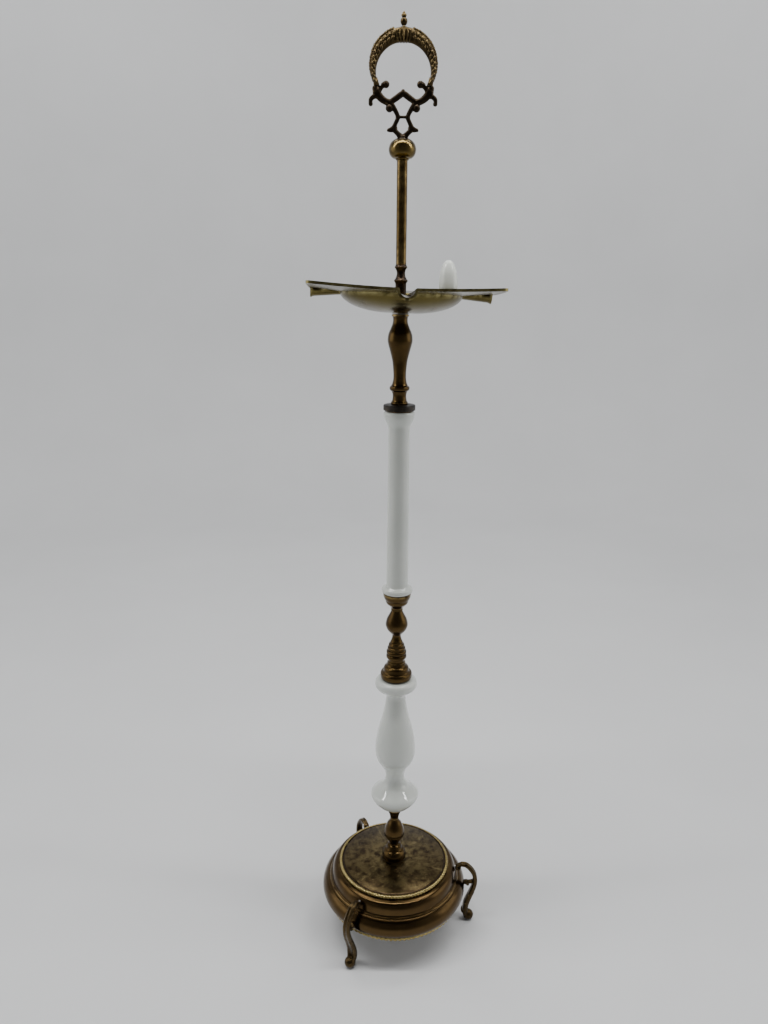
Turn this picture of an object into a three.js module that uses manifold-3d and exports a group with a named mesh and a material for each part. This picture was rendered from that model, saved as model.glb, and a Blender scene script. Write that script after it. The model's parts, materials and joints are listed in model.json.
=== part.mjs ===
// Floor-standing ashtray in aged brass and white porcelain: a stack of turned pieces clamped on one
// tie rod, on a moulded base with three cast scroll legs, with a square tray and a ring handle.
// Millimetres, +Z up, origin on the floor under the centre of the column.
import * as THREE from 'three';
import { mergeVertices } from 'three/addons/utils/BufferGeometryUtils.js';
import Module from 'manifold-3d';

// ---------------------------------------------------------------- driving sizes
const seat = 0.1; // gap between two faces that bear on each other
const runningGap = 0.35; // gap on each side of the tray, which turns and leans a little

// tie rod and its nut
const rodRadius = 2.4;
const rodClearance = 0.4;
const rodProjection = 10; // below the cover, for the washer and nut
const nutAcrossFlats = 9;
const nutHeight = 4;
const washerRadius = 8;
const washerThickness = 1;

// base, from the bottom up
const coverBottom = 33;
const coverThickness = 1.2;
const drumRadius = 79.3;
const drumHeight = 21;
const skirtInset = 5.8; // skirt ring inside the drum's widest
const skirtRadius = drumRadius - skirtInset;
const skirtHeight = 5.4;
const stepInset = 9.1; // step inside the drum's widest
const stepRadius = drumRadius - stepInset;
const stepHeight = 13;
const shellWall = 1.4;
const stepLip = 0.4; // how far the drum's top stands out from the step on it
const plateLip = 1.1; // how far the step's top stands out from the plate on it
const drumLip = 0.9; // how far the skirt ring stands out from the drum's bottom
const skirtWidth = 4.5;
const ledgeWidth = 6; // flange that carries the shell above
const plateLedge = 8; // flange that carries the plate
const plateInset = 9.7; // plate inside the step's widest
const plateRadius = stepRadius - plateInset;
const plateThickness = 4.2;
const weightClearance = 11; // inside the skirt ring
const weightHeight = 15;
const weightBore = 14;

// legs
const legTurn = -3; // degrees from +X to the first leg
const legCount = 3;
const legWidth = 7;
const legStandOff = 12.3; // from the drum to the scroll's centre line where it stands furthest out
const footRadius = 6;
const footStandOff = 5.7; // from the drum to the foot's centre
const footFlat = 5.3; // height of the foot ball's centre, so that it stands on a small flat
const screwRadius = 1.4;
const screwHeadRadius = 2.8;
const screwHeadHeight = 1.6;
const screwGap = 0.15;
const headGap = 0.8; // the shells are a little flatter inside than their faces
const legGap = 0.3; // between a leg and the shells it is screwed to
const screwReach = 3.5; // how far a leg screw goes into its leg

// column, from the bottom up
const lowerBalusterRadius = 13.1;
const lowerBalusterHeight = 51;
const vaseCupRadius = 8.8;
const vaseCupHeight = 14;
const cushionThickness = 0.9; // cork rings on both ends of each porcelain piece
const vaseRadius = 25.6;
const vaseHeight = 154.6;
const bellRadius = 16.4;
const bellHeight = 17.6;
const middleBalusterRadius = 11.4;
const middleBalusterHeight = 59;
const tubeCupRadius = 14;
const tubeCupHeight = 16.4;
const tubeRadius = 15.5;
const tubeHeight = 182.4;
const capRadius = 15.2;
const capHeight = 5.6;
const upperBalusterRadius = 11.6;
const upperBalusterHeight = 82;
const porcelainBore = 5.5;

// tray
const traySide = 165;
const trayCorner = 4;
const trayTurn = 2.5; // degrees, it isn't keyed to the column
const trayLean = 1.8; // degrees, the pressed tray sits a little low on its right
const sheet = 1.4;
const bowlRadius = 55;
const bowlDepth = 17;
const hubRadius = 11; // flat middle of the bowl
const flangeSlope = 5; // degrees up towards the edge
const channelRadius = 6.4;
const channelInset = 9; // how far a channel reaches inside the bowl's rim
const channelDepth = 7.6; // at the outer edge
const channelFall = 5; // degrees down towards the edge
const hubClearance = 0.6;
const trayWasherRadius = 7.4;
const trayWasherThickness = 0.8;

// stub press that stands loose on the flange
const pressOut = 78;
const pressTurn = 50; // degrees
const pressFootRadius = 9.6;
const pressFootHeight = 2.6;
const pressKnobRadius = 9.2;
const pressKnobHeight = 27.4;
const pressHollow = 0.9; // the foot stands on a rim
const pressRim = 3.1; // width of that rim
const pressPeg = 5;
const pressSeat = 0.3;

// handle
const spoolRadius = 8.6;
const spoolHeight = 39.4;
const postRadius = 4.7;
const postWall = 1.5;
const postHeight = 86.6;
const ballRadius = 12;
const ballHeight = 17.6;
const bracketDepth = 5;
const tenonLength = 7;
const bossRadius = 3.4;
const bossHeight = 2.4;
const bracketHeight = 40.4;
const armStandOff = 2.4; // an arm stands a little outside the ring's end that it carries
const ringRadius = 29;
const ringCentreHeight = 15.95; // above the ring's ends
const ringEndWidth = 4;
const ringTopWidth = 12.4;
const ringDepth = 7;
const ringBevel = 0.9;
const ringCrownWidth = 15;
const ringCrownDepth = 9;
const ringCrownHeight = 12.6;
const crownProud = 0.6; // how far the crown stands above the ring
const finialRadius = 3;
const finialHeight = 10.6;
const finialPeg = 4;
const pegRadius = 1.2;

const baseSegments = 28;
const columnSegments = 16;
const smallSegments = 12;
const traySegments = 32;

// ---------------------------------------------------------------- materials
const finish = (color, roughness, metalness) => () =>
  new THREE.MeshStandardMaterial({ color, roughness, metalness });
const brass = finish(0x8a6534, 0.34, 0.9);
const trayBrass = finish(0x8c7a42, 0.3, 0.9);
const darkBronze = finish(0x3a2a1c, 0.45, 0.85);
const porcelain = finish(0xe9ece6, 0.12, 0);
const blackened = finish(0x16130f, 0.5, 0.5);
const steel = finish(0x9a9a96, 0.4, 0.9);
const iron = finish(0x3b3a38, 0.7, 0.6);
const cork = finish(0x9b7a50, 0.9, 0);

// ---------------------------------------------------------------- helpers
const wasm = await Module();
wasm.setup();

function toSolid(geometry) {
  const bare = geometry.clone();
  bare.deleteAttribute('normal');
  bare.deleteAttribute('uv');
  const merged = mergeVertices(bare, 1e-4);
  return new wasm.Manifold(new wasm.Mesh({
    numProp: 3,
    vertProperties: new Float32Array(merged.attributes.position.array),
    triVerts: new Uint32Array(merged.index.array),
  }));
}

function toGeometry(solid) {
  const mesh = solid.getMesh();
  const geometry = new THREE.BufferGeometry();
  geometry.setAttribute('position', new THREE.BufferAttribute(mesh.vertProperties, 3));
  geometry.setIndex(new THREE.BufferAttribute(mesh.triVerts, 1));
  geometry.computeVertexNormals();
  return geometry;
}

function join(...geometries) {
  const solids = geometries.map(toSolid);
  return toGeometry(solids.reduce((whole, next) => whole.add(next)));
}

function cut(geometry, ...tools) {
  return toGeometry(tools.map(toSolid).reduce((whole, tool) => whole.subtract(tool), toSolid(geometry)));
}

function common(a, b) {
  return toGeometry(toSolid(a).intersect(toSolid(b)));
}

const radians = THREE.MathUtils.degToRad;
const vectors = (points) => points.map(([x, y]) => new THREE.Vector2(x, y));

// A lathe about +Z. The profile runs up the outside and starts and ends on the axis or closes.
function lathe(profile, segments) {
  return new THREE.LatheGeometry(vectors(profile), segments).rotateX(Math.PI / 2);
}

// Stretches an outline so that its widest point is at radius and its top is at height.
function fit(outline, radius, height) {
  const widest = Math.max(...outline.map(([r]) => r));
  const tallest = Math.max(...outline.map(([, z]) => z));
  return outline.map(([r, z]) => [(r * radius) / widest, (z * height) / tallest]);
}

// A turned piece with a plain bore, standing on z = 0.
function turned(outline, radius, height, bore, segments = columnSegments) {
  const outside = fit(outline, radius, height);
  return lathe([[bore, 0], ...outside, [bore, height], [bore, 0]], segments);
}

function cylinder(radius, bottom, top, segments = smallSegments) {
  return lathe([[0, bottom], [radius, bottom], [radius, top], [0, top]], segments);
}

// Extrudes a shape drawn in x and z, centred on y = 0.
function plateXZ(shape, depth, bevel = 0) {
  const geometry = new THREE.ExtrudeGeometry(shape, {
    depth: depth - 4 * bevel,
    bevelEnabled: bevel > 0,
    bevelThickness: 2 * bevel,
    bevelSize: bevel,
    bevelOffset: -bevel,
    bevelSegments: 1,
    curveSegments: 14,
  });
  return geometry.rotateX(Math.PI / 2).translate(0, depth / 2 - 2 * bevel, 0);
}

// A bar along a smooth line through [x, z, half thickness] points, seen from the side.
function bar(points, depth, steps) {
  const line = new THREE.CatmullRomCurve3(points.map(([x, z, half]) => new THREE.Vector3(x, z, half)));
  const left = [];
  const right = [];
  for (let i = 0; i <= steps; i += 1) {
    const point = line.getPoint(i / steps);
    const tangent = line.getTangent(i / steps);
    const length = Math.hypot(tangent.x, tangent.y);
    const nx = (-tangent.y / length) * point.z;
    const ny = (tangent.x / length) * point.z;
    left.push(new THREE.Vector2(point.x + nx, point.y + ny));
    right.unshift(new THREE.Vector2(point.x - nx, point.y - ny));
  }
  return plateXZ(new THREE.Shape([...left, ...right]), depth);
}

// A rod along the radius at height z, from one radius to another.
function radialRod(radius, from, to, z, segments = smallSegments) {
  const geometry = new THREE.CylinderGeometry(radius, radius, to - from, segments);
  return geometry.rotateZ(-Math.PI / 2).translate((from + to) / 2, 0, z);
}

function ball(radius, x, z, columns = 12, rows = 8) {
  return new THREE.SphereGeometry(radius, columns, rows).rotateX(Math.PI / 2).translate(x, 0, z);
}

function atAngle(geometry, degrees) {
  return geometry.clone().rotateZ(radians(degrees));
}

const model = new THREE.Group();

function add(name, geometry, material, z = 0, parent = model) {
  const mesh = new THREE.Mesh(geometry, material());
  mesh.name = name;
  mesh.position.z = z;
  parent.add(mesh);
  return mesh;
}

const bore = rodRadius + rodClearance;
const legAngles = Array.from({ length: legCount }, (_, i) => legTurn + (i * 360) / legCount);

// ---------------------------------------------------------------- base
const weightRadius = skirtRadius - skirtWidth - weightClearance;
const legReach = drumRadius + legStandOff;
const footOut = drumRadius + footStandOff;
const coverTop = coverBottom + coverThickness;
const skirtBottom = coverTop + seat;
const drumBottom = skirtBottom + skirtHeight + seat;
const stepBottom = drumBottom + drumHeight + seat;
const plateBottom = stepBottom + stepHeight + seat;
const plateTop = plateBottom + plateThickness;

// Outer faces of the spun shells, from the bottom lip to the top ledge.
// Each point is a share of the way from one radius to the next, and a share of the height.
const between = (from, to, height, points) => points.map(([r, z]) => [from + r * (to - from), z * height]);
const drumFace = [
  ...between(skirtRadius - drumLip, drumRadius, drumHeight, [[0, 0], [0.57, 0.08], [0.93, 0.24], [1, 0.43]]),
  ...between(stepRadius + stepLip, drumRadius, drumHeight, [[0.9, 0.64], [0.6, 0.84], [0.21, 0.96], [0, 1]]),
];
const stepFace = between(plateRadius + plateLip, stepRadius, stepHeight, [
  [1, 0], [0.85, 0.14], [0.79, 0.34], [0.71, 0.57], [0.56, 0.77], [0.33, 0.92], [0, 1],
]);

// A spun shell: the face, and the same face moved in by the wall, with a ledge at the top.
function spunShell(face, ledge) {
  const inside = face.slice(1, -1).map(([r, z]) => [r - shellWall, z - shellWall / 3]).reverse();
  const [bottomR] = face[0];
  const topZ = face[face.length - 1][1];
  const start = [bottomR - shellWall, 0];
  return lathe([start, ...face, [ledge, topZ], [ledge, topZ - shellWall], ...inside, start], baseSegments);
}

// Leg screws go through the shells from the inside, one into the volute and one into the lug.
const upperScrewHeight = stepBottom + stepHeight * 0.62;
const lowerScrewHeight = drumBottom + drumHeight * 0.45;
const faceRadiusAt = (face, z) => {
  const i = face.findIndex(([, top]) => top >= z);
  const [r0, z0] = face[i - 1];
  const [r1, z1] = face[i];
  return r0 + ((r1 - r0) * (z - z0)) / (z1 - z0);
};
const stepAtScrew = faceRadiusAt(stepFace, upperScrewHeight - stepBottom);
const drumAtScrew = faceRadiusAt(drumFace, lowerScrewHeight - drumBottom);
// A flat screw head bears on the curved inside of a shell at its upper and lower edges.
const headSeat = (face, z) => Math.min(
  faceRadiusAt(face, z - screwHeadRadius),
  faceRadiusAt(face, z + screwHeadRadius),
) - shellWall - headGap;

function screwHoles(faceRadius, z) {
  const hole = radialRod(screwRadius + screwGap, faceRadius - 6, faceRadius + 6, z);
  return legAngles.map((degrees) => atAngle(hole, degrees));
}

const coverRadius = skirtRadius - skirtWidth / 2;
add('base_cover', turned([[1, 0], [1, 1]], coverRadius, coverThickness, bore, baseSegments), steel,
  coverBottom);

add('base_skirt_ring', turned([
  [72, 0], [73.3, 1.2], [73.5, 2.6], [73.1, 4.2], [71.8, 5.4],
], skirtRadius, skirtHeight, skirtRadius - skirtWidth, baseSegments), brass, skirtBottom);

add('base_weight', turned([[1, 0], [1, 1]], weightRadius, weightHeight, weightBore, baseSegments), iron,
  coverTop + seat);

const drumShell = spunShell(drumFace, stepRadius - ledgeWidth);
const drumHoles = screwHoles(drumAtScrew, lowerScrewHeight - drumBottom);
add('base_drum', cut(drumShell, ...drumHoles), brass, drumBottom);

const stepShell = spunShell(stepFace, plateRadius - plateLedge);
const stepHoles = screwHoles(stepAtScrew, upperScrewHeight - stepBottom);
add('base_step', cut(stepShell, ...stepHoles), brass, stepBottom);

add('base_plate', turned([
  [56.4, 0], [58.6, 0.3], [60, 1.4], [60.5, 2.4], [60, 3.4], [58.8, 4], [57.4, 3.8], [56.4, 4.2],
], plateRadius, plateThickness, bore, baseSegments), brass, plateBottom);

// ---------------------------------------------------------------- legs
// Side view of one leg: a volute against the step, a scroll standing out, and a ball foot.
const voluteRadius = 3.5;
const voluteX = stepAtScrew + voluteRadius + legGap;
const lugHeight = 5;
const legLine = [
  [voluteX - 0.6, upperScrewHeight + 2.1, 1.5],
  [voluteX + 7, upperScrewHeight + 2.4, 1.9],
  [legReach - 4.6, lowerScrewHeight + 16, 2.1],
  [legReach - 0.4, lowerScrewHeight + 7, 2.2],
  [legReach - 0.4, lowerScrewHeight - 4, 2.3],
  [legReach - 3.6, lowerScrewHeight - 13, 2.4],
  [legReach - 9.4, lowerScrewHeight - 22, 2.4],
  [footOut - 6.4, footFlat + 15, 2.3],
  [footOut - 7.2, footFlat + 8.4, 2.2],
  [footOut - 5, footFlat + 3, 2.2],
  [footOut, footFlat, 2.2],
];

function leg() {
  const scroll = bar(legLine, legWidth, 18);
  const volute = new THREE.CylinderGeometry(voluteRadius, voluteRadius, legWidth + 0.6, 16)
    .translate(voluteX, 0, upperScrewHeight);
  const lugInner = drumAtScrew + legGap;
  const lug = bar([
    [lugInner, lowerScrewHeight, lugHeight / 2],
    [lugInner + 5, lowerScrewHeight + 0.6, lugHeight / 2.4],
    [legReach, lowerScrewHeight + 2, lugHeight / 2.6],
  ], legWidth - 1, 5);
  const body = join(scroll, volute, lug, ball(footRadius, footOut, footFlat));
  const floor = new THREE.BoxGeometry(4 * footRadius, 4 * footRadius, 2 * footRadius)
    .translate(footOut, 0, -footRadius);
  const pilot = screwRadius + screwGap;
  return cut(
    body,
    floor,
    radialRod(pilot, voluteX - 2 * voluteRadius, stepAtScrew + screwReach + seat, upperScrewHeight),
    radialRod(pilot, lugInner - 2, drumAtScrew + screwReach + seat, lowerScrewHeight),
  );
}

// A pan-head screw lying along +X with its shank from the head to the tip.
function legScrew(faceRadius, inner, z) {
  const head = radialRod(screwHeadRadius, inner - screwHeadHeight, inner, z);
  const shank = radialRod(screwRadius, inner - 0.5, faceRadius + screwReach - seat, z);
  return join(head, shank);
}

const legBlank = leg();
const upperScrew = legScrew(stepAtScrew, headSeat(stepFace, upperScrewHeight - stepBottom), upperScrewHeight);
const lowerScrew = legScrew(drumAtScrew, headSeat(drumFace, lowerScrewHeight - drumBottom), lowerScrewHeight);
const legNames = ['right', 'back', 'front'];
legAngles.forEach((degrees, i) => {
  add(`leg_${legNames[i]}`, atAngle(legBlank, degrees), brass);
  add(`leg_${legNames[i]}_upper_screw`, atAngle(upperScrew, degrees), steel);
  add(`leg_${legNames[i]}_lower_screw`, atAngle(lowerScrew, degrees), steel);
});

// ---------------------------------------------------------------- column
let level = plateTop + seat;

// Adds the next piece of the column on top of the last one.
function stack(name, geometry, material, height) {
  const bottom = level;
  add(name, geometry, material, bottom);
  level += height + seat;
  return bottom;
}

stack('lower_baluster', turned([
  [11.2, 0], [12.9, 2.4], [13.1, 7], [11.8, 10.6], [8.4, 14.2], [5.8, 17.6], [5.4, 19.6], [6.4, 21.8],
  [8.6, 26], [10.6, 30], [11, 34.4], [10.2, 39], [7.6, 45], [5.2, 48.2], [4.6, 51],
], lowerBalusterRadius, lowerBalusterHeight, bore), brass, lowerBalusterHeight);

stack('vase_cup', turned([
  [4.7, 0], [4.9, 2.6], [5.8, 5.6], [7, 8.6], [7.9, 11.2], [8.8, 12.4], [8.8, 14],
], vaseCupRadius, vaseCupHeight, bore), brass, vaseCupHeight);

function cushion(radius) {
  return turned([[1, 0], [1, 1]], radius, cushionThickness, porcelainBore, smallSegments);
}

stack('vase_lower_cushion', cushion(vaseCupRadius - 1), cork, cushionThickness);

stack('vase', turned([
  [9.2, 0], [12.2, 1.2], [17.4, 4.8], [21.6, 9], [24.7, 13.2], [25.6, 16.2], [24.4, 19], [18.6, 23.8],
  [13.6, 28.6], [10.8, 33.8], [10.1, 38.8], [11.3, 46.2], [14.4, 52], [18.8, 58.2], [20.9, 65.2],
  [21.3, 71.6], [20.6, 82.2], [17.9, 96.6], [14.1, 109.2], [11.3, 123.2], [10.2, 133.6], [12, 138.6],
  [19.6, 144.2], [21.6, 147.2], [21.6, 150.6], [20, 153.2], [15.6, 154.6],
], vaseRadius, vaseHeight, porcelainBore), porcelain, vaseHeight);

stack('vase_upper_cushion', cushion(bellRadius - 4), cork, cushionThickness);

stack('bell_cap', turned([
  [15.6, 0], [16.4, 1.4], [16.4, 6.2], [15.2, 8], [12.6, 11], [11.6, 14.4], [9.4, 17.6],
], bellRadius, bellHeight, bore), brass, bellHeight);

stack('middle_baluster', turned([
  [8.6, 0], [8.9, 2.6], [10.4, 5.4], [10.6, 7.4], [9.6, 9.4], [10.4, 11.4], [10.2, 13.6], [8.8, 15.4],
  [8.8, 18.6], [7.2, 20.2], [7.4, 22.4], [5.2, 25.6], [4.5, 29.2], [5.6, 32.6], [8.8, 35.6],
  [11.2, 39.4], [11.4, 43.4], [10, 48], [7.6, 52.6], [5.5, 57.2], [5.7, 59],
], middleBalusterRadius, middleBalusterHeight, bore), brass, middleBalusterHeight);

stack('tube_cup', turned([
  [6, 0], [7.2, 2.6], [9.6, 4.6], [11.4, 7], [11.8, 9.6], [13.2, 12.4], [14, 16.4],
], tubeCupRadius, tubeCupHeight, bore), brass, tubeCupHeight);

stack('tube_lower_cushion', cushion(tubeCupRadius - 2), cork, cushionThickness);

stack('porcelain_tube', turned([
  [14.2, 0], [15.4, 1.6], [15.3, 4], [13.4, 5.6], [11.2, 7], [10.9, 12], [10.6, 80], [10.1, 150],
  [10.1, 166.6], [11, 169.6], [13.4, 173.8], [14.8, 178], [14.8, 180.6], [14, 182.4],
], tubeRadius, tubeHeight, porcelainBore), porcelain, tubeHeight);

stack('tube_upper_cushion', cushion(capRadius - 3), cork, cushionThickness);

stack('tube_cap', turned([
  [14.4, 0], [15.2, 0.8], [15.2, 4.4], [14.2, 5.6],
], capRadius, capHeight, bore), blackened, capHeight);

stack('upper_baluster', turned([
  [7.9, 0], [7.8, 2.4], [6.6, 5.6], [6.5, 9], [8.2, 12.8], [9.2, 15], [9.1, 17.6], [7.4, 19.6],
  [5.9, 24], [6.1, 31], [7.1, 40], [9.2, 48.4], [11.2, 56], [11.6, 59.6], [10.9, 64.4], [8.4, 70],
  [6.8, 74], [6.7, 77.6], [8, 82],
], upperBalusterRadius, upperBalusterHeight, bore), brass, upperBalusterHeight);

// ---------------------------------------------------------------- tray
function trayWasher() {
  return turned([[1, 0], [1, 1]], trayWasherRadius, trayWasherThickness, bore, smallSegments);
}

stack('tray_lower_washer', trayWasher(), steel, trayWasherThickness);
const hubBottom = level - seat + runningGap;
level = hubBottom + sheet + runningGap;
stack('tray_upper_washer', trayWasher(), steel, trayWasherThickness);

// Heights below are from the underside of the tray's flat middle.
const channelStart = bowlRadius - channelInset;
const rise = Math.tan(radians(flangeSlope));
const flangeTop = (r) => bowlDepth + sheet + (r - bowlRadius) * rise;
const trayReach = traySide * 0.75;

// The bowl's wall, from its flat middle out to its rim, as a quarter of an ellipse.
function bowlWall(extra) {
  const points = [];
  const steps = 7;
  for (let i = 0; i <= steps; i += 1) {
    const angle = (Math.PI / 2) * (i / steps);
    const r = hubRadius + (bowlRadius - hubRadius + extra) * Math.sin(angle);
    points.push([r, bowlDepth * (1 - Math.cos(angle)) + sheet - extra]);
  }
  return points;
}

// A trough with a round bottom, lying along +X, its bottom line falling outwards.
function trough(radius, floorDrop) {
  const outline = new THREE.Shape();
  outline.moveTo(-radius, 4 * channelRadius);
  outline.lineTo(-radius, channelRadius);
  outline.absarc(0, channelRadius, radius, Math.PI, 2 * Math.PI, false);
  outline.lineTo(radius, 4 * channelRadius);
  const length = traySide - channelStart;
  const options = { depth: length, bevelEnabled: false, curveSegments: 8 };
  const floorAtEdge = flangeTop(traySide / 2) - channelDepth;
  const solid = new THREE.ExtrudeGeometry(outline, options).rotateX(Math.PI / 2).rotateZ(Math.PI / 2);
  solid.translate(channelStart - traySide / 2, 0, floorDrop);
  return solid.rotateY(radians(channelFall)).translate(traySide / 2, 0, floorAtEdge);
}

function roundedSquare(side, corner) {
  const half = side / 2;
  const shape = new THREE.Shape();
  shape.moveTo(half - corner, -half);
  for (let i = 0; i < 4; i += 1) {
    const turn = (i * Math.PI) / 2;
    const centre = new THREE.Vector2(half - corner, corner - half).rotateAround(new THREE.Vector2(), turn);
    shape.absarc(centre.x, centre.y, corner, turn - Math.PI / 2, turn, false);
  }
  return new THREE.ExtrudeGeometry(shape, { depth: 6 * bowlDepth, bevelEnabled: false, curveSegments: 3 });
}

function quarterTurns(geometry) {
  return [0, 90, 180, 270].map((degrees) => atAngle(geometry, degrees));
}

function tray() {
  const top = flangeTop(bowlRadius);
  const above = top + 2 * bowlDepth;
  const outside = lathe([
    [0, 0], ...bowlWall(sheet), [bowlRadius + sheet, flangeTop(bowlRadius + sheet) - sheet],
    [trayReach, flangeTop(trayReach) - sheet], [trayReach, flangeTop(trayReach)],
    [bowlRadius, top], [0, top],
  ], traySegments);
  const underFlange = lathe([
    [0, -bowlDepth], [trayReach, -bowlDepth], [trayReach, flangeTop(trayReach)], [bowlRadius, top], [0, top],
  ], traySegments);
  const inside = lathe([[0, sheet], ...bowlWall(0), [bowlRadius, above], [0, above]], traySegments);
  const channels = common(join(...quarterTurns(trough(channelRadius + sheet, -sheet))), underFlange);
  const hollows = quarterTurns(trough(channelRadius, 0));
  const edges = roundedSquare(traySide, trayCorner).translate(0, 0, -bowlDepth);
  const blank = common(join(outside, channels), edges);
  return cut(blank, inside, ...hollows, cylinder(bore + hubClearance, -sheet, 3 * sheet));
}

const trayGroup = new THREE.Group();
trayGroup.position.z = hubBottom + sheet / 2;
trayGroup.rotation.set(0, radians(trayLean), radians(trayTurn), 'ZYX');
model.add(trayGroup);
add('tray', tray(), trayBrass, -sheet / 2, trayGroup);

// The stub press stands on the flange, square to its slope.
const pressTurned = new THREE.Group();
pressTurned.rotation.z = radians(pressTurn);
trayGroup.add(pressTurned);
const press = new THREE.Group();
press.position.set(pressOut, 0, flangeTop(pressOut) - sheet / 2);
press.rotation.y = -radians(flangeSlope);
pressTurned.add(press);
const pegHole = pegRadius + pressSeat;
const pegTop = pressFootHeight + pressPeg;
add('press_foot', lathe([
  [0, pressHollow], [pressFootRadius - pressRim, pressHollow],
  ...fit([[7.2, 0], [9.3, 0.4], [9.3, 2.2], [8, 3.4], [6.4, 5]], pressFootRadius, pressFootHeight),
  [pegRadius, pressFootHeight], [pegRadius, pegTop], [0, pegTop],
], columnSegments), brass, pressSeat, press);
add('press_knob', lathe([
  [0, pressPeg + 2 * pressSeat], [pegHole, pressPeg + 2 * pressSeat], [pegHole, 0],
  ...fit([[7.4, 0], [8.2, 2.6], [8.3, 8], [7.6, 14.4], [6, 20], [3.6, 23.8], [1.4, 25]],
    pressKnobRadius, pressKnobHeight),
  [0, pressKnobHeight],
], columnSegments), porcelain, pressSeat + pressFootHeight + seat, press);

// ---------------------------------------------------------------- handle
stack('spool_collar', turned([
  [8.6, 0], [8.4, 1.8], [5.4, 5], [4.9, 20], [5.1, 23], [6, 24.8], [6, 26.4], [4.4, 29.2], [3.8, 32],
  [4.4, 34.4], [5.6, 36.2], [5.5, 38], [4.9, 39.4],
], spoolRadius, spoolHeight, bore), darkBronze, spoolHeight);

stack('post', turned([[1, 0], [1, 1]], postRadius, postHeight, postRadius - postWall), brass, postHeight);

const ballBottom = stack('ball_knop', turned([
  [5, 0], [8.2, 1.2], [10.8, 3.6], [12, 7.4], [11.9, 9.6], [10.6, 13], [8, 15.8], [5, 17.6],
], ballRadius, ballHeight, bore), brass, ballHeight);
const ballTop = ballBottom + ballHeight;

// Half of the cast bracket, up from the ball and out from the middle, drawn at this reach and height.
const drawnReach = 24.6;
const drawnHeight = 40.4;
const handleBottom = level;
const ringBottom = handleBottom + bracketHeight + seat;
const ringEnd = Math.sqrt(ringRadius ** 2 - ringCentreHeight ** 2); // outer edge of an end of the ring
const armOut = ringEnd - ringEndWidth / 2 + armStandOff;
const halfBracket = [
  { line: [[1.6, 0, 2.2], [4.6, 3.4, 1.7], [8, 7.4, 1.8], [5.8, 11.8, 1.6], [4.2, 16.4, 1.5], [7.2, 22, 1.7],
    [11, 27.6, 2]], steps: 11 },
  { line: [[11, 27.8, 2.2], [15, 28.8, 2.1], [19.4, 31.6, 2.4], [22.6, 36, 2.6], [24.6, 42, 2.4]], steps: 6 },
  { line: [[11.4, 27.6, 1.9], [6, 31, 2], [0.8, 34.6, 2], [-1.6, 34.8, 1.6]], steps: 4 },
  { line: [[21.6, 35.4, 1.8], [18.4, 39.4, 1.5], [15.2, 42, 1.4]], steps: 4 },
  { line: [[21.4, 33.4, 1.7], [25.2, 32, 1.5], [27.8, 29.4, 1.3], [28.2, 25.6, 0.8]], steps: 5 },
  { line: [[7.4, 7.2, 2.2], [10.4, 6.2, 1.6], [13.4, 5.6, 0.4]], steps: 2 },
  { line: [[4.6, 16.4, 0.9], [0, 16.4, 0.9], [-1, 16.4, 0.9]], steps: 2 },
];

function bracket() {
  const pieces = [];
  const spread = armOut / drawnReach;
  const lift = bracketHeight / drawnHeight;
  halfBracket.forEach(({ line, steps }) => {
    const side = bar(line.map(([x, z, half]) => [x * spread, z * lift, half]), bracketDepth, steps);
    pieces.push(side, side.clone().rotateZ(Math.PI));
  });
  [[15.2, 42, 2.2], [11.6, 23.4, 2.7]].forEach(([x, z, radius]) => {
    pieces.push(ball(radius, x * spread, z * lift, 8, 5), ball(radius, -x * spread, z * lift, 8, 5));
  });
  pieces.push(cylinder(bossRadius, 0, bossHeight));
  const block = new THREE.BoxGeometry(8, 2 * bracketDepth, 10);
  const trimmed = cut(
    join(...pieces),
    block.clone().translate(armOut, 0, bracketHeight + 5),
    block.clone().translate(-armOut, 0, bracketHeight + 5),
    block.clone().scale(2, 1, 1).translate(0, 0, -5),
  );
  return join(trimmed, cylinder(rodRadius, -tenonLength, 1));
}
add('bracket', bracket(), darkBronze, handleBottom);

// The ring is a crescent: a round outline and a lower, smaller round opening, cut level below.
function ringHandle() {
  const ringTop = ringCentreHeight + ringRadius;
  const innerEnd = ringEnd - ringEndWidth;
  const innerTop = ringTop - ringTopWidth;
  const innerRadius = (innerEnd ** 2 + innerTop ** 2) / (2 * innerTop);
  const innerCentre = innerTop - innerRadius;
  const outerStart = Math.asin(-ringCentreHeight / ringRadius);
  const innerStart = Math.asin(-innerCentre / innerRadius);
  const shape = new THREE.Shape();
  shape.absarc(0, ringCentreHeight, ringRadius, outerStart, Math.PI - outerStart, false);
  shape.absarc(0, innerCentre, innerRadius, Math.PI - innerStart, innerStart, true);
  const crown = new THREE.CylinderGeometry(ringCrownWidth / 2.6, ringCrownWidth / 2, ringCrownHeight, 10)
    .rotateX(Math.PI / 2).scale(1, ringCrownDepth / ringCrownWidth, 1)
    .translate(0, 0, ringTop - ringCrownHeight / 2 + crownProud);
  const opening = new THREE.CylinderGeometry(innerRadius, innerRadius, 3 * ringDepth, 28)
    .translate(0, 0, innerCentre);
  const pegBore = cylinder(pegRadius + 0.2, ringTop - finialPeg, ringTop + 4);
  const blank = join(plateXZ(shape, ringDepth, ringBevel), crown);
  return { geometry: cut(blank, opening, pegBore), top: ringTop + crownProud };
}
const ring = ringHandle();
add('ring_handle', ring.geometry, brass, ringBottom);

add('finial', lathe([
  [0, -finialPeg + 0.8], [pegRadius, -finialPeg + 0.8], [pegRadius, 0],
  ...fit([[1.6, 0], [2.8, 1.6], [3, 3], [2.4, 4.8], [1.3, 5.8], [1.8, 7], [1.1, 9], [0.5, 10.6]],
    finialRadius, finialHeight),
  [0, finialHeight],
], smallSegments), brass, ringBottom + ring.top + seat);

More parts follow.
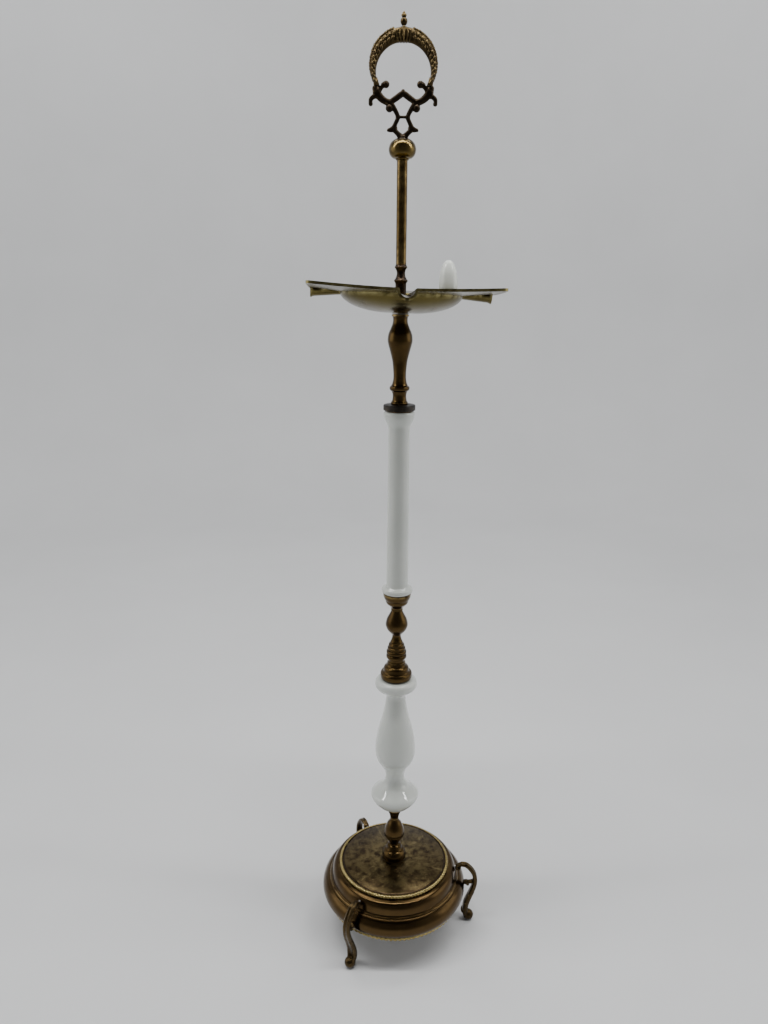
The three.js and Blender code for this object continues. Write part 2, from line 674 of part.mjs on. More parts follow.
// ---------------------------------------------------------------- tie rod
const rodTop = ballTop - tenonLength - 1;
add('tie_rod', cylinder(rodRadius, coverBottom - rodProjection, rodTop), steel);
add('rod_washer', turned([[1, 0], [1, 1]], washerRadius, washerThickness, bore), steel,
  coverBottom - seat - washerThickness);
const nutBlank = new THREE.CylinderGeometry(
  nutAcrossFlats / Math.sqrt(3), nutAcrossFlats / Math.sqrt(3), nutHeight, 6,
).rotateX(Math.PI / 2).translate(0, 0, nutHeight / 2);
add('rod_nut', cut(nutBlank, cylinder(rodRadius + seat, -1, nutHeight + 1)), steel,
  coverBottom - 2 * seat - washerThickness - nutHeight);

export default model;
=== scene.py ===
import json
import math
import random

import bmesh
import bpy
from mathutils import Matrix, Vector


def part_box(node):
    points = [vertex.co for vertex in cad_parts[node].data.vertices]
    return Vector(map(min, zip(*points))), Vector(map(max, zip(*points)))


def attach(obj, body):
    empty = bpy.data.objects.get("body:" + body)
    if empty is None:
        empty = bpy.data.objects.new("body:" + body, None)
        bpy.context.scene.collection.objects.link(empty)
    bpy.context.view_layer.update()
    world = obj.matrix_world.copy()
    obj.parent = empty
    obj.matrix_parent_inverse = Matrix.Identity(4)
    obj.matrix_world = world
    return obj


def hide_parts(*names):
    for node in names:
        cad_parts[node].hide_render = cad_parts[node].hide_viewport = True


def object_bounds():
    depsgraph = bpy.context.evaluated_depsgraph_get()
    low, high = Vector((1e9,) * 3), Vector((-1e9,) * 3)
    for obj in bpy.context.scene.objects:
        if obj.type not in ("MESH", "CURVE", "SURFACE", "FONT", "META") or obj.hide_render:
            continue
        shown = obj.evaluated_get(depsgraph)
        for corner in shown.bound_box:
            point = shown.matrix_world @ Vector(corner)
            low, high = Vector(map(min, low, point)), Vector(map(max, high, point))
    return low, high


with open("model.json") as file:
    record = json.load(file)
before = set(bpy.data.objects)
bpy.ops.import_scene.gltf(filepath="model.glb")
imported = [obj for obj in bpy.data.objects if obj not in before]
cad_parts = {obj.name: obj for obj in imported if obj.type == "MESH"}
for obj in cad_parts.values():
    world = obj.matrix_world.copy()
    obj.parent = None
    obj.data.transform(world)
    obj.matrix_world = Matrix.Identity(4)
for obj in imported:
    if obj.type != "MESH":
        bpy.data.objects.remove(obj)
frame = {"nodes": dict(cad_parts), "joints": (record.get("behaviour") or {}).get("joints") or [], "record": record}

cad_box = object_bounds()
MM = 0.001
random.seed(7)

# ---------------------------------------------------------------- camera
# A phone camera held at tray height, a little left of the column and tilted down.
SENSOR = 36.0
LENS = 27.0
CAMERA_AT = Vector((-0.0138, -0.726, 0.678))
TILT_DOWN = math.radians(15.4)
ROLL = math.radians(0.4)


def make_camera():
    data = bpy.data.cameras.new("camera")
    data.sensor_width = SENSOR
    data.lens = LENS
    data.clip_start = 0.01
    data.clip_end = 20
    camera = bpy.data.objects.new("camera", data)
    bpy.context.scene.collection.objects.link(camera)
    look = Matrix.Rotation(math.pi / 2 - TILT_DOWN, 4, "X") @ Matrix.Rotation(ROLL, 4, "Z")
    camera.matrix_world = Matrix.Translation(CAMERA_AT) @ look
    bpy.context.scene.camera = camera


make_camera()


# ---------------------------------------------------------------- shader helpers
WAVE_RADIANS = 20  # what the wave texture turns in a metre at scale 1


def new_material(name):
    material = bpy.data.materials.new(name)
    material.use_nodes = True
    return material, material.node_tree, material.node_tree.nodes["Principled BSDF"]


def add_node(tree, kind, inputs=None, **settings):
    node = tree.nodes.new(kind)
    for key, value in settings.items():
        setattr(node, key, value)
    for key, value in (inputs or {}).items():
        if isinstance(value, bpy.types.NodeSocket):
            tree.links.new(value, node.inputs[key])
        else:
            node.inputs[key].default_value = value
    return node


def noise(tree, scale, detail=4.0, roughness=0.55, stretch=None, distortion=0.0):
    """Noise in the object's own metres, as a number from 0 to 1."""
    place = add_node(tree, "ShaderNodeTexCoord").outputs["Object"]
    if stretch:
        place = add_node(tree, "ShaderNodeMapping", {"Vector": place, "Scale": stretch}).outputs[0]
    made = add_node(tree, "ShaderNodeTexNoise", {
        "Vector": place, "Scale": scale, "Detail": detail, "Roughness": roughness, "Distortion": distortion,
    })
    return made.outputs["Fac"]


def spread(tree, value, low, high, to_low=0.0, to_high=1.0):
    """A value stretched from low..high to the new limits, and clamped."""
    made = add_node(tree, "ShaderNodeMapRange", {
        "Value": value, "From Min": low, "From Max": high, "To Min": to_low, "To Max": to_high,
    }, clamp=True)
    return made.outputs["Result"]


def sums(tree, kind, a, b):
    return add_node(tree, "ShaderNodeMath", {0: a, 1: b}, operation=kind).outputs[0]


def mix(tree, factor, a, b):
    """A blend of two colours, each a socket or three numbers."""
    ends = [end if isinstance(end, bpy.types.NodeSocket) else (*end, 1.0) for end in (a, b)]
    # sockets 6 and 7 are the Mix node's two colours, and output 2 is its colour result
    made = add_node(tree, "ShaderNodeMix", {0: factor, 6: ends[0], 7: ends[1]}, data_type="RGBA")
    return made.outputs[2]


def lathe_lines(tree, per_metre, rings=False):
    """Fine turning marks: bands up Z, or rings about Z on a flat face."""
    place = add_node(tree, "ShaderNodeTexCoord").outputs["Object"]
    made = add_node(tree, "ShaderNodeTexWave", {
        "Vector": place, "Scale": per_metre * math.tau / WAVE_RADIANS, "Distortion": 1.2, "Detail Scale": 0.5,
    }, wave_type="RINGS" if rings else "BANDS", bands_direction="Z", rings_direction="Z")
    return made.outputs["Fac"]


# ---------------------------------------------------------------- materials
def metal(name, colour, stained, bright, roughness, patina=0.5, recess=0.004, turned=0, rings=False,
          cast=0.0, metallic=1.0):
    """Old metal: patina in clouds, dark recesses, edges rubbed bright and fine tool marks."""
    material, tree, shader = new_material(name)
    clouds = spread(tree, noise(tree, 38, 6, 0.62, distortion=0.4), 0.38, 0.66)
    specks = spread(tree, noise(tree, 420, 5, 0.6), 0.56, 0.72)
    runs = spread(tree, noise(tree, 90, 3, 0.5, stretch=(1, 1, 0.25)), 0.42, 0.7)
    stain = sums(tree, "MULTIPLY", sums(tree, "MAXIMUM", clouds, sums(tree, "MULTIPLY", runs, 0.7)), patina)
    stain = sums(tree, "MAXIMUM", stain, sums(tree, "MULTIPLY", specks, patina * 0.7))
    open_air = add_node(tree, "ShaderNodeAmbientOcclusion", {"Distance": recess}, samples=6).outputs["AO"]
    grime = spread(tree, open_air, 0.35, 0.9, 1.0, 0.0)
    raised = add_node(tree, "ShaderNodeNewGeometry").outputs["Pointiness"]
    worn = spread(tree, raised, 0.515, 0.60)
    worn = sums(tree, "MULTIPLY", worn, spread(tree, noise(tree, 160, 3), 0.35, 0.6))
    tone = mix(tree, stain, colour, stained)
    tone = mix(tree, sums(tree, "MULTIPLY", grime, 0.75), tone, tuple(c * 0.22 for c in stained))
    tone = mix(tree, sums(tree, "MULTIPLY", worn, 0.8), tone, bright)
    tree.links.new(tone, shader.inputs["Base Color"])
    rough = spread(tree, noise(tree, 130, 5, 0.6), 0.3, 0.75, roughness * 0.75, roughness * 1.35)
    rough = sums(tree, "ADD", rough, sums(tree, "MULTIPLY", grime, 0.22))
    rough = sums(tree, "ADD", rough, sums(tree, "MULTIPLY", stain, 0.10))
    tree.links.new(rough, shader.inputs["Roughness"])
    shader.inputs["Metallic"].default_value = metallic
    height = sums(tree, "MULTIPLY", noise(tree, 900, 4, 0.6), 0.35)
    height = sums(tree, "ADD", height, sums(tree, "MULTIPLY", noise(tree, 70, 3), 0.6))
    if turned:
        height = sums(tree, "ADD", height, sums(tree, "MULTIPLY", lathe_lines(tree, turned, rings), 0.16))
    if cast:
        height = sums(tree, "ADD", height, sums(tree, "MULTIPLY", noise(tree, 330, 5, 0.65), cast))
    bump = add_node(tree, "ShaderNodeBump", {"Height": height, "Strength": 0.35, "Distance": 0.00022})
    tree.links.new(bump.outputs[0], shader.inputs["Normal"])
    return material


def porcelain_glaze():
    """Thick white glaze: faint cloudiness, painted shade greying the coves and a slow waviness."""
    material, tree, shader = new_material("porcelain")
    clouds = spread(tree, noise(tree, 26, 5, 0.55), 0.35, 0.7)
    tone = mix(tree, clouds, (0.64, 0.66, 0.615), (0.59, 0.615, 0.57))
    # painted shade: the glaze colour turns greyer where the coves close in, by ambient occlusion
    cove_shade = add_node(tree, "ShaderNodeAmbientOcclusion", {"Distance": 0.012}, samples=6).outputs["AO"]
    tone = mix(tree, spread(tree, cove_shade, 0.45, 0.95, 0.5, 0.0), tone, (0.47, 0.50, 0.455))
    specks = spread(tree, noise(tree, 700, 2, 0.4), 0.735, 0.76)
    tone = mix(tree, sums(tree, "MULTIPLY", specks, 0.5), tone, (0.42, 0.40, 0.35))
    tree.links.new(tone, shader.inputs["Base Color"])
    rough = spread(tree, noise(tree, 60, 4), 0.3, 0.7, 0.07, 0.14)
    tree.links.new(rough, shader.inputs["Roughness"])
    shader.inputs["IOR"].default_value = 1.5
    shader.inputs["Coat Weight"].default_value = 0.5
    shader.inputs["Coat Roughness"].default_value = 0.04
    shader.inputs["Subsurface Weight"].default_value = 0.12
    shader.inputs["Subsurface Radius"].default_value = (0.004, 0.004, 0.003)
    height = sums(tree, "ADD", noise(tree, 45, 2), sums(tree, "MULTIPLY", noise(tree, 260, 2), 0.12))
    bump = add_node(tree, "ShaderNodeBump", {"Height": height, "Strength": 0.3, "Distance": 0.0003})
    tree.links.new(bump.outputs[0], shader.inputs["Normal"])
    return material


def cork_sheet():
    material, tree, shader = new_material("cork")
    place = add_node(tree, "ShaderNodeTexCoord").outputs["Object"]
    cells = add_node(tree, "ShaderNodeTexVoronoi", {"Vector": place, "Scale": 900.0}).outputs["Distance"]
    tone = mix(tree, spread(tree, cells, 0.0, 0.7), (0.16, 0.09, 0.045), (0.46, 0.31, 0.17))
    tone = mix(tree, spread(tree, noise(tree, 300, 4), 0.5, 0.7), tone, (0.09, 0.05, 0.03))
    tree.links.new(tone, shader.inputs["Base Color"])
    rough = spread(tree, noise(tree, 500, 3), 0.3, 0.7, 0.75, 0.95)
    tree.links.new(rough, shader.inputs["Roughness"])
    bump = add_node(tree, "ShaderNodeBump", {"Height": cells, "Strength": 0.5, "Distance": 0.0003})
    tree.links.new(bump.outputs[0], shader.inputs["Normal"])
    return material


def studio_paper():
    """Pale paper with painted shade, nearly black behind the camera, so that the metal has something dark to
    reflect.
    """
    material, tree, shader = new_material("studio_paper")
    tone = mix(tree, spread(tree, noise(tree, 3, 3), 0.3, 0.7), (0.70, 0.705, 0.71), (0.735, 0.74, 0.745))
    place = add_node(tree, "ShaderNodeTexCoord").outputs["Object"]
    depth = add_node(tree, "ShaderNodeSeparateXYZ", {"Vector": place}).outputs["Y"]
    # painted shade: the paper turns nearly black towards the front, behind the camera
    tone = mix(tree, spread(tree, depth, -2.2, -0.9, 0.65, 0.0), tone, (0.05, 0.05, 0.05))
    tree.links.new(tone, shader.inputs["Base Color"])
    shader.inputs["Roughness"].default_value = 0.75
    return material


brass = metal("aged_brass", (0.084, 0.053, 0.019), (0.034, 0.020, 0.009), (0.40, 0.29, 0.12), 0.16, 0.6,
              turned=2600)
base_brass = metal("base_brass", (0.080, 0.050, 0.020), (0.040, 0.024, 0.011), (0.34, 0.24, 0.10), 0.13, 0.5,
                   recess=0.005, turned=2200)
plate_brass = metal("plate_brass", (0.040, 0.026, 0.013), (0.032, 0.020, 0.010), (0.26, 0.20, 0.09), 0.22,
                    0.3, turned=1500, rings=True)
rope_brass = metal("rope_brass", (0.32, 0.25, 0.095), (0.14, 0.10, 0.040), (0.66, 0.54, 0.24), 0.26, 0.35,
                   recess=0.0022)
leg_brass = metal("leg_brass", (0.074, 0.050, 0.022), (0.036, 0.024, 0.011), (0.36, 0.27, 0.12), 0.24, 0.65,
                  recess=0.004, cast=0.5)
tray_metal = metal("tray_brass", (0.108, 0.088, 0.029), (0.062, 0.048, 0.018), (0.36, 0.31, 0.14), 0.19, 0.55,
                   recess=0.005)
dark_bronze = metal("dark_bronze", (0.028, 0.020, 0.012), (0.013, 0.010, 0.007), (0.12, 0.084, 0.042), 0.33,
                    0.6, cast=0.6)
spool_bronze = metal("spool_bronze", (0.036, 0.025, 0.016), (0.018, 0.012, 0.009), (0.22, 0.15, 0.09), 0.24,
                     0.6, turned=2600)
ring_brass = metal("ring_brass", (0.062, 0.043, 0.018), (0.024, 0.016, 0.009), (0.32, 0.24, 0.10), 0.29, 0.8,
                   recess=0.0018, cast=0.5)
ball_brass = metal("ball_brass", (0.125, 0.088, 0.030), (0.056, 0.037, 0.015), (0.44, 0.34, 0.14), 0.15, 0.55,
                   turned=2600)
black_metal = metal("blackened_metal", (0.020, 0.017, 0.014), (0.010, 0.009, 0.008), (0.085, 0.065, 0.045),
                    0.36, 0.5, metallic=0.7)
steel = metal("steel", (0.42, 0.41, 0.39), (0.19, 0.155, 0.12), (0.62, 0.61, 0.59), 0.33, 0.45, turned=2600)
cover_steel = metal("cover_steel", (0.30, 0.28, 0.25), (0.14, 0.11, 0.085), (0.5, 0.48, 0.45), 0.42, 0.6,
                    turned=900, rings=True)
iron = metal("iron", (0.055, 0.052, 0.050), (0.075, 0.035, 0.018), (0.16, 0.15, 0.14), 0.62, 0.7, cast=1.2,
             metallic=0.8)
porcelain = porcelain_glaze()
cork = cork_sheet()


# ---------------------------------------------------------------- mesh helpers
def smooth_line(points, steps):
    """Points of any length joined by a Catmull-Rom curve, with this many steps to a span."""
    if len(points) == 2:
        return [tuple(p) for p in points]
    first = [2 * a - b for a, b in zip(points[0], points[1])]
    last = [2 * a - b for a, b in zip(points[-1], points[-2])]
    row = [first, *points, last]
    line = []
    for i in range(1, len(row) - 2):
        p0, p1, p2, p3 = row[i - 1:i + 3]
        for k in range(steps):
            t = k / steps
            line.append(tuple(
                b + 0.5 * t * (c - a + t * (2 * a - 5 * b + 4 * c - d + t * (3 * b - a - 3 * c + d)))
                for a, b, c, d in zip(p0, p1, p2, p3)))
    line.append(tuple(points[-1]))
    return line


def outline_of(runs, steps=6):
    """Smooth runs of points joined at crisp corners."""
    line = []
    for run in runs:
        line.extend(smooth_line(run, steps)[1 if line else 0:])
    return line


def mesh_object(name, mesh, material, sharp=38):
    mesh.shade_smooth()
    mesh.set_sharp_from_angle(angle=math.radians(sharp))
    mesh.materials.clear()
    mesh.materials.append(material)
    made = bpy.data.objects.new(name, mesh)
    bpy.context.scene.collection.objects.link(made)
    return made


def take_mesh(work, name):
    """The mesh of a bmesh, which is freed."""
    mesh = bpy.data.meshes.new(name)
    work.to_mesh(mesh)
    work.free()
    return mesh


def wrap_rings(work, rings):
    """Faces between closed rings of points, with the last ring joined to the first."""
    count = len(rings[0])
    for k, here in enumerate(rings):
        there = rings[(k + 1) % len(rings)]
        for i in range(count):
            j = (i + 1) % count
            work.faces.new((here[i], there[i], there[j], here[j]))


def lathe_mesh(name, profile, segments, shape=None):
    """Turns a closed (r, z) profile in metres about +Z. shape(r, z, angle) can change a point's radius."""
    work = bmesh.new()
    rings = []
    for k in range(segments):
        angle = math.tau * k / segments
        ring = []
        for r, z in profile:
            radius = shape(r, z, angle) if shape else r
            ring.append(work.verts.new((radius * math.cos(angle), radius * math.sin(angle), z)))
        rings.append(ring)
    wrap_rings(work, rings)
    bmesh.ops.remove_doubles(work, verts=work.verts, dist=1e-7)
    bmesh.ops.recalc_face_normals(work, faces=work.faces)
    return take_mesh(work, name)


def settle(piece, body, slot, *nodes):
    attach(piece, body)
    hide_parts(*nodes)
    return piece


def sizes_of(node):
    """A turned node's radius, height and bottom, from its box."""
    low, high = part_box(node)
    return high.x, high.z - low.z, low.z


def turned_piece(node, runs, material, slot, bore, segments=112):
    """A turned piece on the column's axis: an outline drawn in mm, fitted to its node's box."""
    radius, height, bottom = sizes_of(node)
    line = outline_of(runs)
    across = radius / max(r for r, _ in line)
    up = height / max(z for _, z in line)
    profile = [(r * across, bottom + z * up) for r, z in line]
    profile += [(bore * MM, bottom + height), (bore * MM, bottom)]
    mesh = lathe_mesh(node, profile, segments)
    return settle(mesh_object(f"{node}_turned", mesh, material), "stand", slot, node)


def solid_copy(source, name):
    """A new mesh of an object with its modifiers applied."""
    graph = bpy.context.evaluated_depsgraph_get()
    mesh = bpy.data.meshes.new_from_object(source.evaluated_get(graph))
    mesh.name = name
    return mesh


def fused(name, pieces, voxel, rounds=4, factor=0.5):
    """One cast body: overlapping closed meshes joined by a voxel skin and eased."""
    work = bmesh.new()
    for mesh in pieces:
        work.from_mesh(mesh)
        bpy.data.meshes.remove(mesh)
    raw = take_mesh(work, name + "_raw")
    holder = bpy.data.objects.new(name + "_raw", raw)
    bpy.context.scene.collection.objects.link(holder)
    skin = holder.modifiers.new("skin", "REMESH")
    skin.mode = "VOXEL"
    skin.voxel_size = voxel * MM
    ease = holder.modifiers.new("ease", "SMOOTH")
    ease.iterations = rounds
    ease.factor = factor
    bpy.context.view_layer.update()
    mesh = solid_copy(holder, name)
    bpy.data.objects.remove(holder)
    bpy.data.meshes.remove(raw)
    return mesh


END_TURNS = (30, 55, 75, 86)  # degrees round a bar's end at which it has a section
THINNEST = 0.05


def rounded_end(station, way):
    """The sections that close one end of a bar, from the bar outward."""
    centre, run, thick, wide = station
    closing = []
    for turn in END_TURNS:
        share = math.cos(math.radians(turn))
        out = math.sin(math.radians(turn)) * thick * way
        closing.append((centre + run * out, run, max(thick * share, THINNEST), max(wide * share, THINNEST)))
    return closing


def sweep_mesh(points, steps=6, sides=20, square=2.4):
    """A bar seen from the side: (x, z, half thickness, half width) in mm along a smooth line."""
    line = smooth_line(points, steps)
    stations = []
    for i, here in enumerate(line):
        before, after = line[max(i - 1, 0)], line[min(i + 1, len(line) - 1)]
        run = Vector((after[0] - before[0], 0, after[1] - before[1])).normalized()
        stations.append((Vector((here[0], 0, here[1])), run, here[2], here[3]))
    stations = [*reversed(rounded_end(stations[0], -1)), *stations, *rounded_end(stations[-1], 1)]
    work = bmesh.new()
    rings = []
    for centre, run, thick, wide in stations:
        side = Vector((-run.z, 0, run.x))
        ring = []
        for k in range(sides):
            angle = math.tau * k / sides
            c, s = math.cos(angle), math.sin(angle)
            u = math.copysign(abs(c) ** (2 / square), c) * thick
            v = math.copysign(abs(s) ** (2 / square), s) * wide
            ring.append(work.verts.new((centre + side * u + Vector((0, v, 0))) * MM))
        rings.append(ring)
    for here, there in zip(rings, rings[1:]):
        for k in range(sides):
            j = (k + 1) % sides
            work.faces.new((here[k], here[j], there[j], there[k]))
    work.faces.new(rings[0])
    work.faces.new(rings[-1])
    bmesh.ops.recalc_face_normals(work, faces=work.faces)
    return take_mesh(work, "sweep")


def lump_mesh(centre, radii, turn=0.0, columns=20, rows=12):
    """An egg-shaped lump, its radii in mm, turned about +Y."""
    work = bmesh.new()
    place = Matrix.Translation(Vector(centre) * MM) @ Matrix.Rotation(turn, 4, "Y")
    place = place @ Matrix.Diagonal(Vector((*[r * MM for r in radii], 1)))
    bmesh.ops.create_uvsphere(work, u_segments=columns, v_segments=rows, radius=1, matrix=place)
    return take_mesh(work, "lump")


def rope_mesh(name, radius, height, thick, ridges, lean=1.0):
    """A twisted rope lying in a ring: a torus whose section turns as it goes round. In mm."""
    around, sides = ridges * 7, 22
    work = bmesh.new()
    rings = []
    for k in range(around):
        angle = math.tau * k / around
        ring = []
        for j in range(sides):
            turn = math.tau * j / sides
            ridge = 0.5 + 0.5 * math.cos(ridges * angle + lean * 2 * turn)
            size = thick * (0.62 + 0.38 * ridge ** 0.5)
            r = radius + size * math.cos(turn)
            z = height + size * math.sin(turn)
            ring.append(work.verts.new((r * math.cos(angle) * MM, r * math.sin(angle) * MM, z * MM)))
        rings.append(ring)
    wrap_rings(work, rings)
    bmesh.ops.recalc_face_normals(work, faces=work.faces)
    return take_mesh(work, name)


# ---------------------------------------------------------------- base
ROD_BORE = 2.8
PORCELAIN_BORE = 5.5
POST_BORE = 3.2
NUT_BORE = 2.55
SEAT = 0.1  # the gap between pieces that are clamped together


def shell_piece(node, runs, ledge, wall, material):
    """A spun shell: its face, the same face moved in by the wall, and a ledge at the top."""
    radius, height, bottom = sizes_of(node)
    line = outline_of(runs)
    across = radius / max(r for r, _ in line)
    up = height / max(z for _, z in line)
    face = [(r * across, bottom + z * up) for r, z in line]
    top = bottom + height
    inside = [(r - wall * MM, z - wall * MM / 3) for r, z in face[1:-1] if z < top - wall * MM]
    profile = [(face[0][0] - wall * MM, bottom), *face, (ledge * MM, top), (ledge * MM, top - wall * MM)]
    profile += [(r, max(z, bottom)) for r, z in reversed(inside)]
    mesh = lathe_mesh(node, profile, 200)
    return settle(mesh_object(f"{node}_spun", mesh, material, 30), "stand", "aged_brass", node)


def make_base():
    shell_piece("base_drum", [
        [(72.6, 0), (73.8, 0.3)],
        [(73.8, 0.3), (76.9, 1.7), (78.9, 5), (79.3, 9), (78.3, 13.4), (75.9, 17.2), (73.4, 19.4)],
        [(73.4, 19.4), (72.0, 19.6), (71.4, 20.2)],
        [(71.4, 20.2), (70.7, 21)],
    ], 64.2, 1.3, base_brass)
    shell_piece("base_step", [
        [(70.2, 0), (69.9, 0.6), (69.0, 1.3)],
        [(69.0, 1.3), (68.5, 4.2), (67.8, 7.2), (66.5, 9.9), (64.5, 12), (62.7, 12.7)],
        [(62.7, 12.7), (61.6, 13)],
    ], 52.5, 1.3, base_brass)

    radius, height, bottom = sizes_of("base_plate")
    edge = radius / MM
    plate = outline_of([
        [(edge - 4.1, 0), (edge - 2.6, 0.3), (edge - 2.2, 1.2)],
        [(edge - 2.2, 1.2), (edge - 2.2, 3.1)],
        [(edge - 2.2, 3.1), (edge - 3.0, 3.9), (edge - 3.8, 3.9)],
        [(edge - 3.8, 3.9), (edge - 4.4, 3.6), (edge - 5.0, 3.9)],
        [(edge - 5.0, 3.9), (edge - 5.6, 4.2)],
        [(edge - 5.6, 4.2), (ROD_BORE, 4.2)],
        [(ROD_BORE, 4.2), (ROD_BORE, 0)],
    ])
    mesh = lathe_mesh("base_plate", [(r * MM, bottom + z * MM) for r, z in plate], 220)
    settle(mesh_object("base_plate_disc", mesh, plate_brass, 30), "stand", "aged_brass", "base_plate")
    rope = rope_mesh("plate_rope", edge - 1.9, (bottom + height / 2) / MM, 1.9, 104)
    settle(mesh_object("base_plate_rope", rope, rope_brass, 50), "stand", "aged_brass", "base_plate")

    radius, height, bottom = sizes_of("base_skirt_ring")
    edge, tall = radius / MM, height / MM
    band = outline_of([
        [(edge - 4.5, 0), (edge - 1.9, 0)],
        [(edge - 1.9, 0), (edge - 1.6, 0.6), (edge - 2.2, 1.2)],
        [(edge - 2.2, 1.2), (edge - 2.2, tall - 1.2)],
        [(edge - 2.2, tall - 1.2), (edge - 1.6, tall - 0.7), (edge - 1.9, tall)],
        [(edge - 1.9, tall), (edge - 4.5, tall)],
        [(edge - 4.5, tall), (edge - 4.5, 0)],
    ])
    mesh = lathe_mesh("base_skirt_ring", [(r * MM, bottom + z * MM) for r, z in band[:-1]], 220)
    settle(mesh_object("base_skirt_band", mesh, base_brass, 30), "stand", "aged_brass", "base_skirt_ring")
    rope = rope_mesh("skirt_rope", edge - 1.4, (bottom + height / 2) / MM, 2.7, 96)
    settle(mesh_object("base_skirt_rope", rope, rope_brass, 50), "stand", "aged_brass", "base_skirt_ring")


make_base()

# ---------------------------------------------------------------- legs
# Side view of a leg: distance out from the axis, height, half thickness and half width.
LEG_LINE = [
    (71.9, 70.8, 1.6, 2.9), (75.6, 72.0, 1.8, 3.1), (80.6, 71.2, 1.9, 3.4), (85.6, 66.6, 2.0, 3.7),
    (89.3, 60.6, 2.1, 3.9), (90.8, 54.0, 2.2, 4.1), (90.2, 46.4, 2.3, 4.3), (87.4, 37.4, 2.5, 4.6),
    (84.0, 28.4, 2.6, 5.1), (81.7, 21.0, 2.7, 5.6), (80.9, 14.4, 2.8, 5.8), (81.2, 9.6, 2.8, 5.4),
    (82.8, 6.6, 2.8, 4.4),
]
LEG_INNERMOST = 68.3  # a leg is cut flat here, just clear of the base
LUG_LINE = [
    (80.0, 49.2, 2.4, 2.9), (83.6, 49.4, 1.9, 2.7), (87.4, 50.2, 1.8, 2.6), (90.6, 51.6, 1.8, 2.6),
]


def leg_mesh():
    pieces = [sweep_mesh(LEG_LINE, 8, 24, 2.8)]
    for side in (-1, 1):
        ridge = []
        for i, (x, z, thick, wide) in enumerate(LEG_LINE[1:-1], 1):
            before, after = LEG_LINE[i - 1], LEG_LINE[i + 1]
            run = Vector((after[0] - before[0], after[1] - before[1])).normalized()
            out = Vector((-run.y, run.x)) * (thick - 0.1)
            ridge.append((x + out.x, z + out.y, 0.75, wide * 0.28, side * wide * 0.52))
        mesh = sweep_mesh([r[:4] for r in ridge], 8, 12, 2.0)
        offsets = [r[4] for r in ridge]
        low, high = ridge[-1][1] * MM, ridge[0][1] * MM
        for vertex in mesh.vertices:
            share = min(max((high - vertex.co.z) / (high - low), 0), 1) * (len(offsets) - 1)
            i = min(int(share), len(offsets) - 2)
            vertex.co.y += (offsets[i] + (offsets[i + 1] - offsets[i]) * (share - i)) * MM
        pieces.append(mesh)
    # the volute against the step: a curl of bar round a small open eye
    eye = Vector((72.2, 68.4))
    curl = []
    for k in range(15):
        angle = math.radians(100 + k * 26)
        reach = 2.9 - 0.085 * k
        curl.append((eye.x + reach * math.cos(angle), eye.y + reach * math.sin(angle), 0.95, 3.1 - 0.05 * k))
    pieces.append(sweep_mesh(curl, 4, 14, 2.4))
    pieces.append(lump_mesh((70.9, 0, 67.0), (1.6, 2.9, 2.8)))
    # the lug against the drum, with a scroll end
    pieces.append(sweep_mesh(LUG_LINE, 6, 18, 2.4))
    pieces.append(lump_mesh((81.6, 0, 49.0), (2.0, 3.1, 3.3)))
    pieces.append(lump_mesh((83.4, 0, 46.4), (1.7, 2.7, 1.7)))
    # ball foot with a small collar, standing on a flat
    pieces.append(lump_mesh((85.0, 0, 5.6), (5.9, 5.9, 5.9), columns=28, rows=18))
    pieces.append(lump_mesh((81.4, 0, 8.6), (2.6, 4.9, 1.5), math.radians(-38)))
    pieces.append(lump_mesh((79.2, 0, 12.0), (2.8, 4.9, 3.6)))
    mesh = fused("leg", pieces, 0.42, 5)
    for vertex in mesh.vertices:
        vertex.co.z = max(vertex.co.z, cad_box[0].z)
        vertex.co.x = max(vertex.co.x, LEG_INNERMOST * MM)
    return mesh


def make_legs():
    blank = leg_mesh()
    for mount in frame["record"]["mounts"]:
        side = mount["name"].replace("foot_", "")
        x, y, _ = mount["pos_m"]
        mesh = blank.copy()
        mesh.transform(Matrix.Rotation(math.atan2(y, x), 4, "Z"))
        settle(mesh_object(f"leg_{side}_cast", mesh, leg_brass, 60), "stand", "aged_brass", f"leg_{side}")


make_legs()


